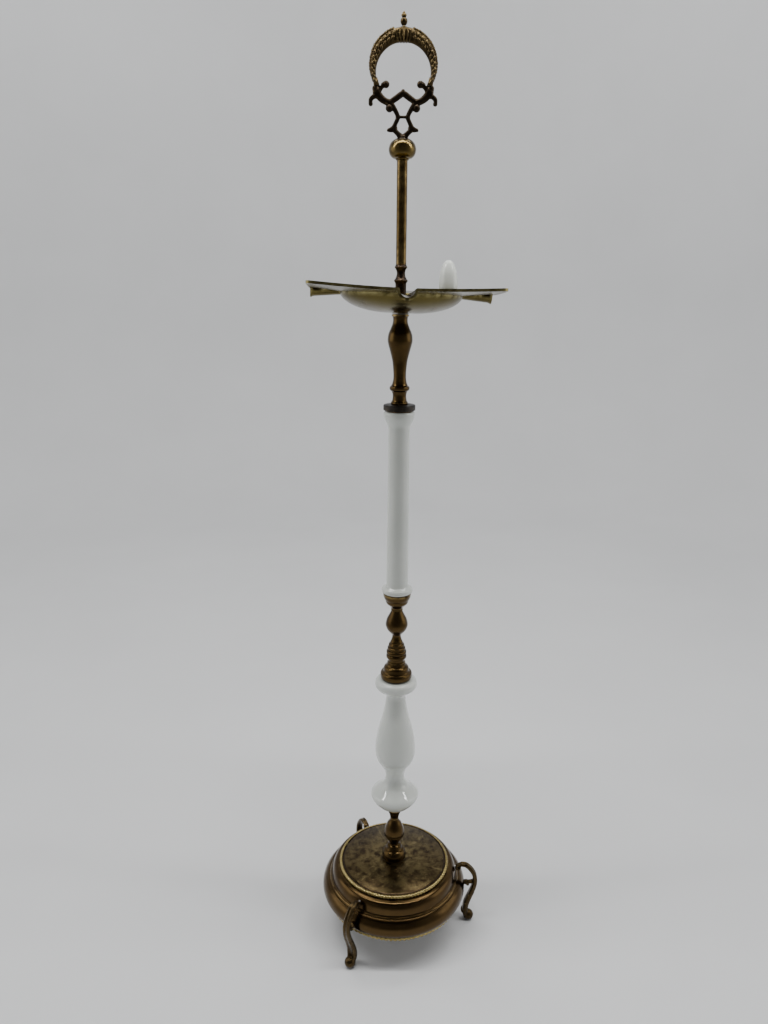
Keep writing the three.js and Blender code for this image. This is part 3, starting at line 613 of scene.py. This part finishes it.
# ---------------------------------------------------------------- column
def make_column():
    turned_piece("lower_baluster", [
        [(11.2, 0), (12.4, 0.9), (13.1, 3.2), (13.1, 6.4), (12.3, 9.0), (10.6, 11.4)],
        [(10.6, 11.4), (9.0, 12.2), (7.8, 13.8), (7.0, 15.6)],
        [(7.0, 15.6), (7.6, 16.2), (7.6, 17.0), (6.9, 17.6)],
        [(6.9, 17.6), (5.6, 18.6), (5.4, 20.4), (6.4, 22.6), (8.4, 26.2), (10.3, 29.2)],
        [(10.3, 29.2), (11.0, 30.2), (11.0, 31.2)],
        [(11.0, 31.2), (11.0, 34.2), (10.1, 39.2), (7.8, 44.6), (5.6, 48.0), (4.7, 50.2), (4.6, 51)],
    ], brass, "aged_brass", ROD_BORE)
    turned_piece("vase_cup", [
        [(4.7, 0), (4.8, 2.2), (5.5, 5.2), (6.7, 8.2), (7.8, 11.2)],
        [(7.8, 11.2), (8.8, 12.0)],
        [(8.8, 12.0), (8.8, 14)],
    ], brass, "aged_brass", ROD_BORE)
    turned_piece("vase", [
        [(9.2, 0), (12.2, 0.8), (17.4, 4.2), (21.6, 8.6), (24.7, 13.0), (25.6, 16.3), (24.3, 19.5),
         (18.8, 24.0), (13.6, 28.6), (10.9, 33.8), (10.1, 38.8), (11.3, 45.8), (14.6, 52.2), (18.6, 58.4),
         (20.8, 65.2), (21.3, 71.6), (20.5, 82.6), (17.9, 96.6), (14.2, 110), (11.4, 123.2), (10.2, 132.6)],
        [(10.2, 132.6), (10.7, 136.0), (13.4, 139.4), (18.4, 142.8), (21.2, 146.0), (21.7, 149.0),
         (21.0, 152.0), (18.8, 154.0), (15.6, 154.6)],
    ], porcelain, "porcelain", PORCELAIN_BORE, 144)
    turned_piece("bell_cap", [
        [(15.4, 0), (16.2, 1.1), (16.4, 3.4), (16.2, 5.6), (15.3, 6.8)],
        [(15.3, 6.8), (14.2, 7.1), (13.3, 8.5)],
        [(13.3, 8.5), (13.0, 10.2), (12.6, 12.0), (11.2, 13.6)],
        [(11.2, 13.6), (10.4, 14.2), (9.6, 16.0), (9.3, 17.6)],
    ], brass, "aged_brass", ROD_BORE)
    turned_piece("middle_baluster", [
        [(8.7, 0), (8.4, 2.2), (8.8, 4.2)],
        [(8.8, 4.2), (10.2, 4.8), (10.6, 6.6), (10.2, 8.4), (9.3, 9.2)],
        [(9.3, 9.2), (10.2, 9.9), (10.4, 11.4), (9.9, 12.9), (8.8, 13.5)],
        [(8.8, 13.5), (9.3, 14.4), (9.1, 16.4), (7.8, 17.2)],
        [(7.8, 17.2), (8.2, 18.2), (7.9, 20.0), (6.6, 20.9)],
        [(6.6, 20.9), (6.4, 22.4), (5.2, 25.4), (4.5, 28.6), (4.6, 30.4)],
        [(4.6, 30.4), (6.6, 32.5), (9.6, 36), (11.2, 39.8), (11.4, 43.0), (10.1, 48), (7.7, 52.6),
         (5.6, 56.8)],
        [(5.6, 56.8), (6.1, 57.4), (6.1, 58.4), (5.7, 59)],
    ], brass, "aged_brass", ROD_BORE)
    turned_piece("tube_cup", [
        [(6, 0), (6.6, 1.6), (8.4, 3.6), (9.8, 5)],
        [(9.8, 5), (10.6, 5.7), (11.4, 7.4), (11.7, 9.3)],
        [(11.7, 9.3), (12.4, 10.1), (13.4, 12.4), (13.8, 14.0)],
        [(13.8, 14.0), (14, 14.5)],
        [(14, 14.5), (14, 16.4)],
    ], brass, "aged_brass", ROD_BORE)
    turned_piece("porcelain_tube", [
        [(14.2, 0), (15.2, 1.0), (15.5, 2.8), (15.0, 4.5), (13.4, 5.8), (11.6, 6.9), (11.0, 8.8)],
        [(11.0, 8.8), (10.9, 30), (10.6, 80), (10.2, 150), (10.1, 165)],
        [(10.1, 165), (10.5, 168), (11.8, 171.2), (13.9, 175.4), (14.8, 178.4), (14.8, 180.8), (14.0, 182.4)],
    ], porcelain, "porcelain", PORCELAIN_BORE, 144)
    turned_piece("tube_cap", [
        [(14.5, 0), (15.2, 0.6)],
        [(15.2, 0.6), (15.2, 4.5)],
        [(15.2, 4.5), (14.7, 5.3), (13.6, 5.6)],
    ], black_metal, "blackened_metal", ROD_BORE)
    turned_piece("upper_baluster", [
        [(7.9, 0), (8.2, 1.0), (7.9, 2.2)],
        [(7.9, 2.2), (7.0, 3.6), (6.5, 6.4), (6.6, 9.4), (7.5, 12.2)],
        [(7.5, 12.2), (8.9, 13.3), (9.5, 14.9), (9.1, 16.5), (8.0, 17.4)],
        [(8.0, 17.4), (6.9, 19.6), (6.1, 23.6), (6.0, 28), (6.3, 33), (7.1, 40), (9.0, 48), (11.1, 55.6),
         (11.6, 59.8), (10.9, 64.8), (8.7, 70), (7.2, 74), (6.8, 77.4), (7.0, 79.8)],
        [(7.0, 79.8), (8.0, 80.5)],
        [(8.0, 80.5), (8.0, 82)],
    ], brass, "aged_brass", ROD_BORE)
    turned_piece("spool_collar", [
        [(8.6, 0), (8.5, 1.2), (7.2, 2.8), (5.6, 5), (5.0, 9), (4.9, 16), (5.0, 22)],
        [(5.0, 22), (5.2, 23.6), (6.3, 25.4)],
        [(6.3, 25.4), (6.3, 26.1)],
        [(6.3, 26.1), (5.2, 27.4), (4.2, 29.6), (3.8, 32), (4.1, 34.2), (5.0, 36.2)],
        [(5.0, 36.2), (5.8, 37.1)],
        [(5.8, 37.1), (5.8, 37.7)],
        [(5.8, 37.7), (5.2, 38.5), (4.9, 39.4)],
    ], spool_bronze, "dark_bronze", ROD_BORE)
    turned_piece("post", [
        [(4.45, 0), (4.7, 0.3)],
        [(4.7, 0.3), (4.7, 40)],
        [(4.7, 40), (4.7, 86.3)],
        [(4.7, 86.3), (4.45, 86.6)],
    ], brass, "aged_brass", POST_BORE)
    turned_piece("ball_knop", [
        [(5.6, 0), (5.9, 0.5), (6.2, 1.0)],
        [(6.2, 1.0), (8.6, 1.8), (10.8, 3.9), (11.9, 7.0), (11.95, 9.6), (10.9, 12.8), (8.6, 15.4),
         (5.6, 17.1), (4.6, 17.6)],
    ], ball_brass, "aged_brass", ROD_BORE)


make_column()

# ---------------------------------------------------------------- tray
TRAY_TURN = math.radians(2.5)
TRAY_LEAN = math.radians(1.8)
HALF_SIDE, CORNER = 82.5, 4.0
SHEET = 1.4
BOWL_RADIUS, BOWL_DEPTH, HUB_RADIUS = 55.0, 17.0, 11.0
FLANGE_SLOPE = math.tan(math.radians(5))
CHANNEL_RADIUS, CHANNEL_DEPTH = 6.4, 7.6
CHANNEL_FALL = math.tan(math.radians(5))
HUB_HOLE = 3.4
BOWL_WALL, CHANNEL_WALL = 4.0, 5.0  # how steeply the sides rise past the round
BOWL_EASE, CHANNEL_EASE = 1.8, 1.6
CHANNEL_START = 30.0
NO_CHANNEL = 99.0  # a height that is never the lower one
PROBE = 0.25  # half the step over which the slope is read
RIM_GROWTH = 0.8  # the rim is turned a little thicker than the sheet


def soft_low(a, b, ease):
    """The lower of two heights, rounded where they meet."""
    share = max(ease - abs(a - b), 0.0) / ease
    return min(a, b) - share * share * ease * 0.25


def bowl_height(r):
    share = min(max((r - HUB_RADIUS) / (BOWL_RADIUS - HUB_RADIUS), 0.0), 1.0)
    if r <= BOWL_RADIUS:
        return BOWL_DEPTH * (1 - math.sqrt(1 - share * share))
    return BOWL_DEPTH + (r - BOWL_RADIUS) * BOWL_WALL


def channel_height(along, across):
    """Height of the round-bottomed channel that runs out along one side, above the hub."""
    if along < CHANNEL_START:
        return NO_CHANNEL
    floor = BOWL_DEPTH + (HALF_SIDE - BOWL_RADIUS) * FLANGE_SLOPE - CHANNEL_DEPTH
    floor += (HALF_SIDE - along) * CHANNEL_FALL
    side = abs(across)
    if side < CHANNEL_RADIUS:
        return floor + CHANNEL_RADIUS - math.sqrt(CHANNEL_RADIUS ** 2 - side ** 2)
    return floor + CHANNEL_RADIUS + (side - CHANNEL_RADIUS) * CHANNEL_WALL


def tray_height(x, y):
    """Top face of the pressed sheet, above the top of its flat hub, in mm."""
    r = math.hypot(x, y)
    height = BOWL_DEPTH + (r - BOWL_RADIUS) * FLANGE_SLOPE
    channel = min(channel_height(x, y), channel_height(-x, y), channel_height(y, x), channel_height(-y, x))
    height = soft_low(height, channel, CHANNEL_EASE)
    return soft_low(height, bowl_height(r), BOWL_EASE)


def edge_reach(angle):
    """Distance from the middle to the rounded square's edge."""
    quarter = (angle + math.pi / 4) % (math.pi / 2) - math.pi / 4
    reach = HALF_SIDE / math.cos(quarter)
    inner = HALF_SIDE - CORNER
    corner = abs(quarter)
    if reach * math.sin(corner) <= inner:
        return reach
    c, s = math.cos(corner), math.sin(corner)
    along = inner * c + inner * s
    return along + math.sqrt(max(along * along - 2 * inner * inner + CORNER * CORNER, 0.0))


def tray_angles():
    """Directions round the tray, closer together across the channels and at the corners."""
    angles = []
    steps = 44
    for quarter in range(4):
        middle = quarter * math.pi / 2
        for k in range(-steps, steps):
            share = k / steps
            bunched = share * (0.42 + 0.58 * abs(share) ** 1.3)
            angles.append(middle + bunched * math.pi / 4)
    return angles


def tray_place():
    pivot = Vector(frame["joints"][0]["pos_m"])
    turn = Matrix.Rotation(TRAY_TURN, 4, "Z") @ Matrix.Rotation(TRAY_LEAN, 4, "Y")
    return Matrix.Translation(pivot) @ turn


def tray_mesh():
    hub, fine, rough = 12.5, 50, 60
    radii = [HUB_HOLE, 5, 8, 10, HUB_RADIUS, hub]
    radii += [hub + (fine - hub) * k / 20 for k in range(1, 21)]
    radii += [fine + (rough - fine) * k / 14 for k in range(1, 15)]
    shares = [k / 20 for k in range(1, 20)] + [0.965, 0.98, 0.99, 1]
    work = bmesh.new()
    upper, lower = [], []
    for angle in tray_angles():
        c, s = math.cos(angle), math.sin(angle)
        reach = edge_reach(angle)
        spots = radii + [rough + (reach - rough) * share for share in shares]
        top, under = [], []
        for r in spots:
            x, y = r * c, r * s
            z = tray_height(x, y)
            slope = Vector((tray_height(x + PROBE, y) - tray_height(x - PROBE, y),
                            tray_height(x, y + PROBE) - tray_height(x, y - PROBE), 0)) / (2 * PROBE)
            normal = Vector((-slope.x, -slope.y, 1)).normalized()
            half = SHEET / 2
            rim = min(max((r - reach + 2.6) / 1.6, 0.0), 1.0) * RIM_GROWTH
            top.append(work.verts.new(Vector((x, y, z + half + rim * 0.2)) * MM))
            below = Vector((x, y, z + half)) - normal * (SHEET + rim)
            if r == spots[-1]:
                below.x, below.y = x, y
            under.append(work.verts.new(below * MM))
        upper.append(top)
        lower.append(under)
    count = len(upper)
    for k in range(count):
        j = (k + 1) % count
        for i in range(len(upper[0]) - 1):
            work.faces.new((upper[k][i], upper[k][i + 1], upper[j][i + 1], upper[j][i]))
            work.faces.new((lower[k][i], lower[j][i], lower[j][i + 1], lower[k][i + 1]))
        work.faces.new((upper[k][0], upper[j][0], lower[j][0], lower[k][0]))
        work.faces.new((upper[k][-1], lower[k][-1], lower[j][-1], upper[j][-1]))
    bmesh.ops.recalc_face_normals(work, faces=work.faces)
    mesh = take_mesh(work, "tray")
    mesh.transform(tray_place())
    return mesh


settle(mesh_object("tray_pressed", tray_mesh(), tray_metal, 60), "tray", "tray_brass", "tray")

# ---------------------------------------------------------------- stub press
PRESS_OUT = 78.0
PRESS_TURN = math.radians(50)
PRESS_SEAT = 0.3


def press_place():
    """Where the press stands on the flange, square to its slope."""
    flange = BOWL_DEPTH + SHEET / 2 + (PRESS_OUT - BOWL_RADIUS) * FLANGE_SLOPE
    seat = Matrix.Translation(Vector((PRESS_OUT, 0, flange)) * MM)
    lean = Matrix.Rotation(-math.atan(FLANGE_SLOPE), 4, "Y")
    return tray_place() @ Matrix.Rotation(PRESS_TURN, 4, "Z") @ seat @ lean


def press_piece(name, node, runs, material, slot, bottom):
    profile = [(r * MM, (bottom + z) * MM) for r, z in outline_of(runs)]
    mesh = lathe_mesh(name, profile, 96)
    mesh.transform(press_place())
    settle(mesh_object(name, mesh, material), "press", slot, node)


press_piece("press_foot_turned", "press_foot", [
    [(0, 0.9), (6.5, 0.9)],
    [(6.5, 0.9), (7.4, 0)],
    [(7.4, 0), (9.3, 0), (9.6, 0.4)],
    [(9.6, 0.4), (9.6, 1.2), (9.1, 1.7)],
    [(9.1, 1.7), (8.2, 2.0), (8.0, 2.6)],
    [(8.0, 2.6), (1.2, 2.6)],
    [(1.2, 2.6), (1.2, 7.6)],
    [(1.2, 7.6), (0, 7.6)],
], brass, "aged_brass", PRESS_SEAT)
press_piece("press_knob_turned", "press_knob", [
    [(0, 5.6), (1.5, 5.6)],
    [(1.5, 5.6), (1.5, 0)],
    [(1.5, 0), (8.4, 0)],
    [(8.4, 0), (9.0, 0.8), (9.2, 4), (9.0, 9), (8.2, 15.4), (6.6, 21), (4.6, 25), (2.2, 27.1), (0, 27.4)],
], porcelain, "porcelain", PRESS_SEAT + 2.7)

# ---------------------------------------------------------------- bracket
# Half of the casting: out from the middle, up from the ball, half thickness and half depth.
STOUT = 1.28
TENON = 2.3
ARM_FROM = 19.0  # beyond this the arms carry the ring
BRACKET_HALF = [
    [(1.4, 0.6, 2.3, 2.6), (4.2, 3.4, 1.7, 2.4), (7.6, 7.2, 1.7, 2.2), (6.2, 11.4, 1.5, 2.1),
     (4.3, 16.2, 1.5, 2.1), (6.6, 21.6, 1.6, 2.2), (10.6, 27.2, 2.0, 2.4)],
    [(10.4, 27.4, 2.2, 2.4), (15, 28.6, 2.2, 2.4), (19.2, 31.4, 2.5, 2.5), (22.3, 35.4, 2.6, 2.6),
     (23.6, 38.4, 2.3, 2.6)],
    [(11.6, 27.4, 1.8, 2.3), (6.2, 30.8, 2.0, 2.3), (1.2, 34.2, 2.0, 2.4), (-0.8, 34.6, 1.6, 2.3)],
    [(21.8, 35.0, 2.0, 2.4), (19.2, 38.9, 1.7, 2.2), (16.4, 41.5, 1.7, 2.2), (15.0, 42.0, 1.9, 2.2)],
    [(21.2, 33.2, 1.9, 2.4), (25.0, 32.2, 1.6, 2.3), (27.5, 29.9, 1.5, 2.1), (27.8, 26.6, 1.3, 1.9)],
    [(7.2, 7.4, 2.2, 2.2), (10.2, 6.4, 1.7, 2.0), (12.6, 5.8, 0.9, 1.3)],
    [(5.2, 16.4, 1.0, 1.6), (0, 16.4, 0.9, 1.5), (-2, 16.4, 0.9, 1.5)],
]


def bracket_mesh():
    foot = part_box("bracket")[0].z
    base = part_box("ball_knop")[1].z / MM + SEAT
    pieces = []
    for side in (1, -1):
        for line in BRACKET_HALF:
            pieces.append(sweep_mesh([(side * x, base + z, STOUT * a, b) for x, z, a, b in line], 6, 18, 2.2))
        for x, z, r in ((14.6, 41.6, 3.0), (27.6, 26.6, 2.0), (11.6, 23.2, 3.3), (12.0, 6.2, 1.6)):
            pieces.append(lump_mesh((side * x, 0, base + z), (r, r, r)))
        pieces.append(lump_mesh((side * 22.4, 0, base + 35.8), (3.8, 3.0, 4.0)))
    pieces.append(lump_mesh((0, 0, base + 0.4), (3.6, 3.4, 2.2)))
    pieces.append(lump_mesh((0, 0, base + 36.0), (1.9, 2.2, 2.2)))
    tenon_top = (base + 1) * MM
    tenon = [(0, foot), (TENON * MM, foot), (TENON * MM, tenon_top), (0, tenon_top)]
    pieces.append(lathe_mesh("tenon", tenon, 24))
    mesh = fused("bracket", pieces, 0.36, 4)
    ring_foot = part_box("ring_handle")[0].z
    for vertex in mesh.vertices:
        if abs(vertex.co.x) > ARM_FROM * MM:
            vertex.co.z = min(vertex.co.z, ring_foot - SEAT * MM)
        if vertex.co.z < (base + 1) * MM and math.hypot(vertex.co.x, vertex.co.y) > 2.35 * MM:
            vertex.co.z = max(vertex.co.z, (base + 0.02) * MM)
    return mesh


settle(mesh_object("bracket_cast", bracket_mesh(), dark_bronze, 60), "stand", "dark_bronze", "bracket")

# ---------------------------------------------------------------- ring handle
RING_RADIUS, RING_CENTRE = 29.0, 15.95
RING_END_WIDTH, RING_TOP_WIDTH = 4.0, 12.4
END_INNER = math.sqrt(RING_RADIUS ** 2 - RING_CENTRE ** 2) - RING_END_WIDTH
TOP_INNER = RING_CENTRE + RING_RADIUS - RING_TOP_WIDTH
OPENING_RADIUS = (TOP_INNER ** 2 + END_INNER ** 2) / (2 * TOP_INNER)
OPENING_CENTRE = TOP_INNER - OPENING_RADIUS
EYE = 12.5
CAST_IN = 0.3  # how far cast detail may stand into the opening
CROWN_WIDE, CROWN_TALL = 15.0, 12.6


def reach_to(angle, centre, radius):
    """Distance from the ring's eye to a circle on its upright axis."""
    rise = centre - EYE
    along = rise * math.sin(angle)
    return along + math.sqrt(radius * radius - rise * rise + along * along)


def ring_station(degrees):
    angle = math.radians(degrees)
    outer = reach_to(angle, RING_CENTRE, RING_RADIUS)
    inner = reach_to(angle, OPENING_CENTRE, OPENING_RADIUS)
    middle = (outer + inner) / 2
    return angle, middle, (outer - inner) / 2, outer


def ring_mesh():
    low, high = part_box("ring_handle")
    base = low.z / MM
    line = []
    for degrees in range(-28, 209, 8):
        angle, middle, half, _ = ring_station(degrees)
        x, z = middle * math.cos(angle), EYE + middle * math.sin(angle)
        line.append((x, base + z, max(half - 0.55, 1.0), 2.9))
    pieces = [sweep_mesh(line, 3, 20, 2.6)]
    # overlapping leaves up both sides, on the outer edge and on the two faces
    for side in (1, -1):
        for k in range(22):
            degrees = -24 + k * 4.6
            angle, middle, half, outer = ring_station(degrees)
            lie = angle + math.radians(62)
            grow = 0.75 + 0.35 * min(k / 14, 1)
            for face in (-1, 0, 1):
                out = outer - 0.9 if face == 0 else middle + 0.25 * half * (1 if k % 2 else -1)
                x = out * math.cos(angle) * side
                z = base + EYE + out * math.sin(angle)
                deep = face * 2.75
                size = (1.15 * grow, 1.15 if face else 2.5, 2.1 * grow)
                tilt = side * (math.pi / 2 - lie) * (1 if face == 0 else 0.7) + random.uniform(-0.25, 0.25)
                pieces.append(lump_mesh((x, deep, z), size, tilt, 12, 8))
        pieces.append(lump_mesh((side * 22.6, 0, base + 2.2), (2.9, 3.0, 4.4)))
    top = RING_CENTRE + RING_RADIUS
    crown_low = base + top - CROWN_TALL + 0.6
    block = (CROWN_WIDE * 0.46, 3.6, CROWN_TALL * 0.46)
    pieces.append(lump_mesh((0, 0, crown_low + CROWN_TALL * 0.5), block))
    for k in range(-2, 3):
        x = k * 2.9
        tall = CROWN_TALL - abs(k) * 1.3
        rib = [(x * 0.82, crown_low + 0.9, 1.35, 3.9 - 0.3 * abs(k)),
               (x, crown_low + tall * 0.5, 1.5, 4.2 - 0.35 * abs(k)),
               (x * 0.92, crown_low + tall - 1.3, 1.2, 3.4 - 0.3 * abs(k))]
        pieces.append(sweep_mesh(rib, 6, 16, 2.0))
    mesh = fused("ring", pieces, 0.34, 2, 0.4)
    for vertex in mesh.vertices:
        x, z = vertex.co.x / MM, vertex.co.z / MM - base
        gap = math.hypot(x, z - OPENING_CENTRE)
        if 1 < gap < OPENING_RADIUS - CAST_IN:
            push = (OPENING_RADIUS - CAST_IN) / gap
            vertex.co.x = x * push * MM
            vertex.co.z = (base + OPENING_CENTRE + (z - OPENING_CENTRE) * push) * MM
        vertex.co.z = min(max(vertex.co.z, low.z), high.z)
    return mesh


settle(mesh_object("ring_handle_cast", ring_mesh(), ring_brass, 60), "stand", "aged_brass", "ring_handle")


def finial_piece():
    """A small ball under a leaf spike of six lobes, on a peg."""
    low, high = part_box("finial")
    radius = high.x / MM
    tall = (high.z - low.z) / MM
    stem = tall - 10.6
    line = outline_of([
        [(0, 0), (1.2, 0)],
        [(1.2, 0), (1.2, stem)],
        [(1.2, stem), (1.7, stem), (2.6, stem + 1.2), (radius, stem + 3.0), (2.5, stem + 4.7),
         (1.4, stem + 5.7)],
        [(1.4, stem + 5.7), (1.9, stem + 6.6), (1.7, stem + 7.8), (1.0, stem + 9.2), (0.35, stem + 10.3),
         (0, tall)],
    ])
    leaf_from = low.z + (stem + 5.9) * MM

    def lobed(r, z, angle):
        share = min(max((z - leaf_from) / (1.2 * MM), 0), 1)
        return r * (1 + share * 0.22 * math.cos(6 * angle))

    profile = [(r * MM, low.z + z * MM) for r, z in line]
    mesh = lathe_mesh("finial", profile, 72, lobed)
    settle(mesh_object("finial_cast", mesh, ring_brass), "stand", "aged_brass", "finial")


finial_piece()


# ---------------------------------------------------------------- rod, nut and hidden pieces
def threaded_rod():
    """The tie rod: plain up the column, with a rolled thread at its bottom end."""
    radius, height, bottom = sizes_of("tie_rod")
    pitch, depth = 0.8 * MM, 0.28 * MM
    length, point = 12 * MM, 0.5 * MM
    threaded = bottom + length

    def thread(r, z, angle):
        if r < radius * 0.9 or z > threaded or z < bottom + 0.3 * MM:
            return r
        turn = (z / pitch - angle / math.tau) % 1
        return r - depth * abs(2 * turn - 1)

    steps = int(length / (pitch / 8))
    profile = [(0, bottom), (radius - point, bottom), (radius, bottom + point)]
    profile += [(radius, bottom + point + (length - point) * k / steps) for k in range(1, steps + 1)]
    profile += [(radius, bottom + height), (0, bottom + height)]
    mesh = lathe_mesh("tie_rod", profile, 32, thread)
    settle(mesh_object("tie_rod_threaded", mesh, steel, 50), "stand", "steel", "tie_rod")


def hex_nut():
    """A hexagon nut with its corners turned off on both faces."""
    low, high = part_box("rod_nut")
    corner = high.y
    flat = corner * math.cos(math.pi / 6)
    tall = high.z - low.z

    def hexagon(r, z, angle):
        sixth = (angle + math.pi / 2) % (math.pi / 3) - math.pi / 6
        wall = flat / math.cos(sixth)
        return r if r < flat * 0.8 else min(r, wall)

    bore = NUT_BORE * MM
    rim = flat + 0.1 * MM
    profile = [
        (bore, low.z), (flat * 0.97, low.z), (rim, low.z + 0.15 * tall * 0.5), (corner, low.z + 0.22 * tall),
        (corner, high.z - 0.22 * tall), (rim, high.z - 0.15 * tall * 0.5), (flat * 0.97, high.z),
        (bore, high.z),
    ]
    mesh = lathe_mesh("rod_nut", profile, 96, hexagon)
    settle(mesh_object("rod_nut_turned", mesh, steel, 25), "stand", "steel", "rod_nut")


def plain_ring(node, material, slot, bore, edge):
    """A flat ring with its edges broken by a small chamfer, fitted to its node's box."""
    radius, height, _ = sizes_of(node)
    r, h = radius / MM, height / MM
    turned_piece(node, [
        [(r - edge, 0), (r, edge)],
        [(r, edge), (r, h - edge)],
        [(r, h - edge), (r - edge, h)],
    ], material, slot, bore)


threaded_rod()
hex_nut()
plain_ring("rod_washer", steel, "steel", ROD_BORE, 0.2)
plain_ring("tray_lower_washer", steel, "steel", ROD_BORE, 0.15)
plain_ring("tray_upper_washer", steel, "steel", ROD_BORE, 0.15)
for node in ("vase_lower_cushion", "vase_upper_cushion", "tube_lower_cushion", "tube_upper_cushion"):
    plain_ring(node, cork, "cork", PORCELAIN_BORE, 0.25)


def cover_piece():
    """The thin plate under the base, with a pressed bead near its edge and a raised seat for the nut."""
    radius, height, bottom = sizes_of("base_cover")
    r, h = radius / MM, height / MM
    under = outline_of([
        [(ROD_BORE, 0), (11, 0)],
        [(11, 0), (12.4, 0.35), (14, 0.35)],
        [(14, 0.35), (r - 12, 0.35)],
        [(r - 12, 0.35), (r - 10, 0.0), (r - 8, 0.35)],
        [(r - 8, 0.35), (r - 3, 0.35)],
        [(r - 3, 0.35), (r - 2, 0.0), (r - 0.4, 0.0)],
        [(r - 0.4, 0.0), (r, 0.4)],
        [(r, 0.4), (r, h)],
        [(r, h), (ROD_BORE, h)],
    ])
    mesh = lathe_mesh("base_cover", [(a * MM, bottom + b * MM) for a, b in under], 160)
    settle(mesh_object("base_cover_pressed", mesh, cover_steel, 30), "stand", "steel", "base_cover")


cover_piece()
CARRIED = {"base_weight": iron}
for side in ("right", "back", "front"):
    for level in ("upper", "lower"):
        CARRIED[f"leg_{side}_{level}_screw"] = steel
for name, material in CARRIED.items():
    node = frame["nodes"][name]
    node.data.materials.clear()
    node.data.materials.append(material)


# ---------------------------------------------------------------- studio
STUDIO_RADIUS = 2.4
SWEEP_RADIUS = 0.7
WALL_TOP = 2.9


def make_sweep():
    """A round pale floor that curves up into a wall, wide enough to stand a camera in anywhere."""
    start = STUDIO_RADIUS - SWEEP_RADIUS
    line = [(0.0, 0.0), (start, 0.0)]
    for k in range(1, 19):
        angle = math.radians(k * 5)
        line.append((start + SWEEP_RADIUS * math.sin(angle), SWEEP_RADIUS * (1 - math.cos(angle))))
    line.append((STUDIO_RADIUS, WALL_TOP))
    sides = 96
    work = bmesh.new()
    rings = []
    for k in range(sides):
        angle = math.tau * k / sides
        rings.append([work.verts.new((r * math.cos(angle), r * math.sin(angle), z)) for r, z in line])
    for k in range(sides):
        here, there = rings[k], rings[(k + 1) % sides]
        for i in range(len(line) - 1):
            work.faces.new((here[i], there[i], there[i + 1], here[i + 1]))
    bmesh.ops.remove_doubles(work, verts=work.verts, dist=1e-6)
    floor = mesh_object("studio_floor", take_mesh(work, "studio_floor"), studio_paper(), 80)


def area_light(name, place, target, size, size_y, energy):
    data = bpy.data.lights.new(name, "AREA")
    data.shape = "RECTANGLE"
    data.size = size
    data.size_y = size_y
    data.energy = energy
    light = bpy.data.objects.new(name, data)
    light.visible_camera = False
    bpy.context.scene.collection.objects.link(light)
    light.location = place
    light.rotation_euler = (Vector(target) - Vector(place)).to_track_quat("-Z", "Y").to_euler()


def make_studio():
    make_sweep()
    for side in (-1, 1):
        area_light("strip", (side * 0.36, -0.12, 1.20), (side * 0.02, -0.12, 0.3), 0.05, 0.95, 5.0)
        area_light("side_wall", (side * 2.1, 0.0, 0.95), (0, 0, 0.45), 1.5, 1.3, 8.0)
        area_light("wall_wash", (side * 0.9, 0.9, 2.4), (side * 0.6, 2.4, 0.9), 0.8, 0.4, 11)
    area_light("overhead", (0, 0.2, 2.6), (0, 0, 0), 2.2, 2.2, 22)
    world = bpy.data.worlds.new("studio")
    world.use_nodes = True
    sky = world.node_tree.nodes["Background"]
    sky.inputs["Color"].default_value = (0.95, 0.97, 1.0, 1)
    sky.inputs["Strength"].default_value = 0.035
    bpy.context.scene.world = world


make_studio()
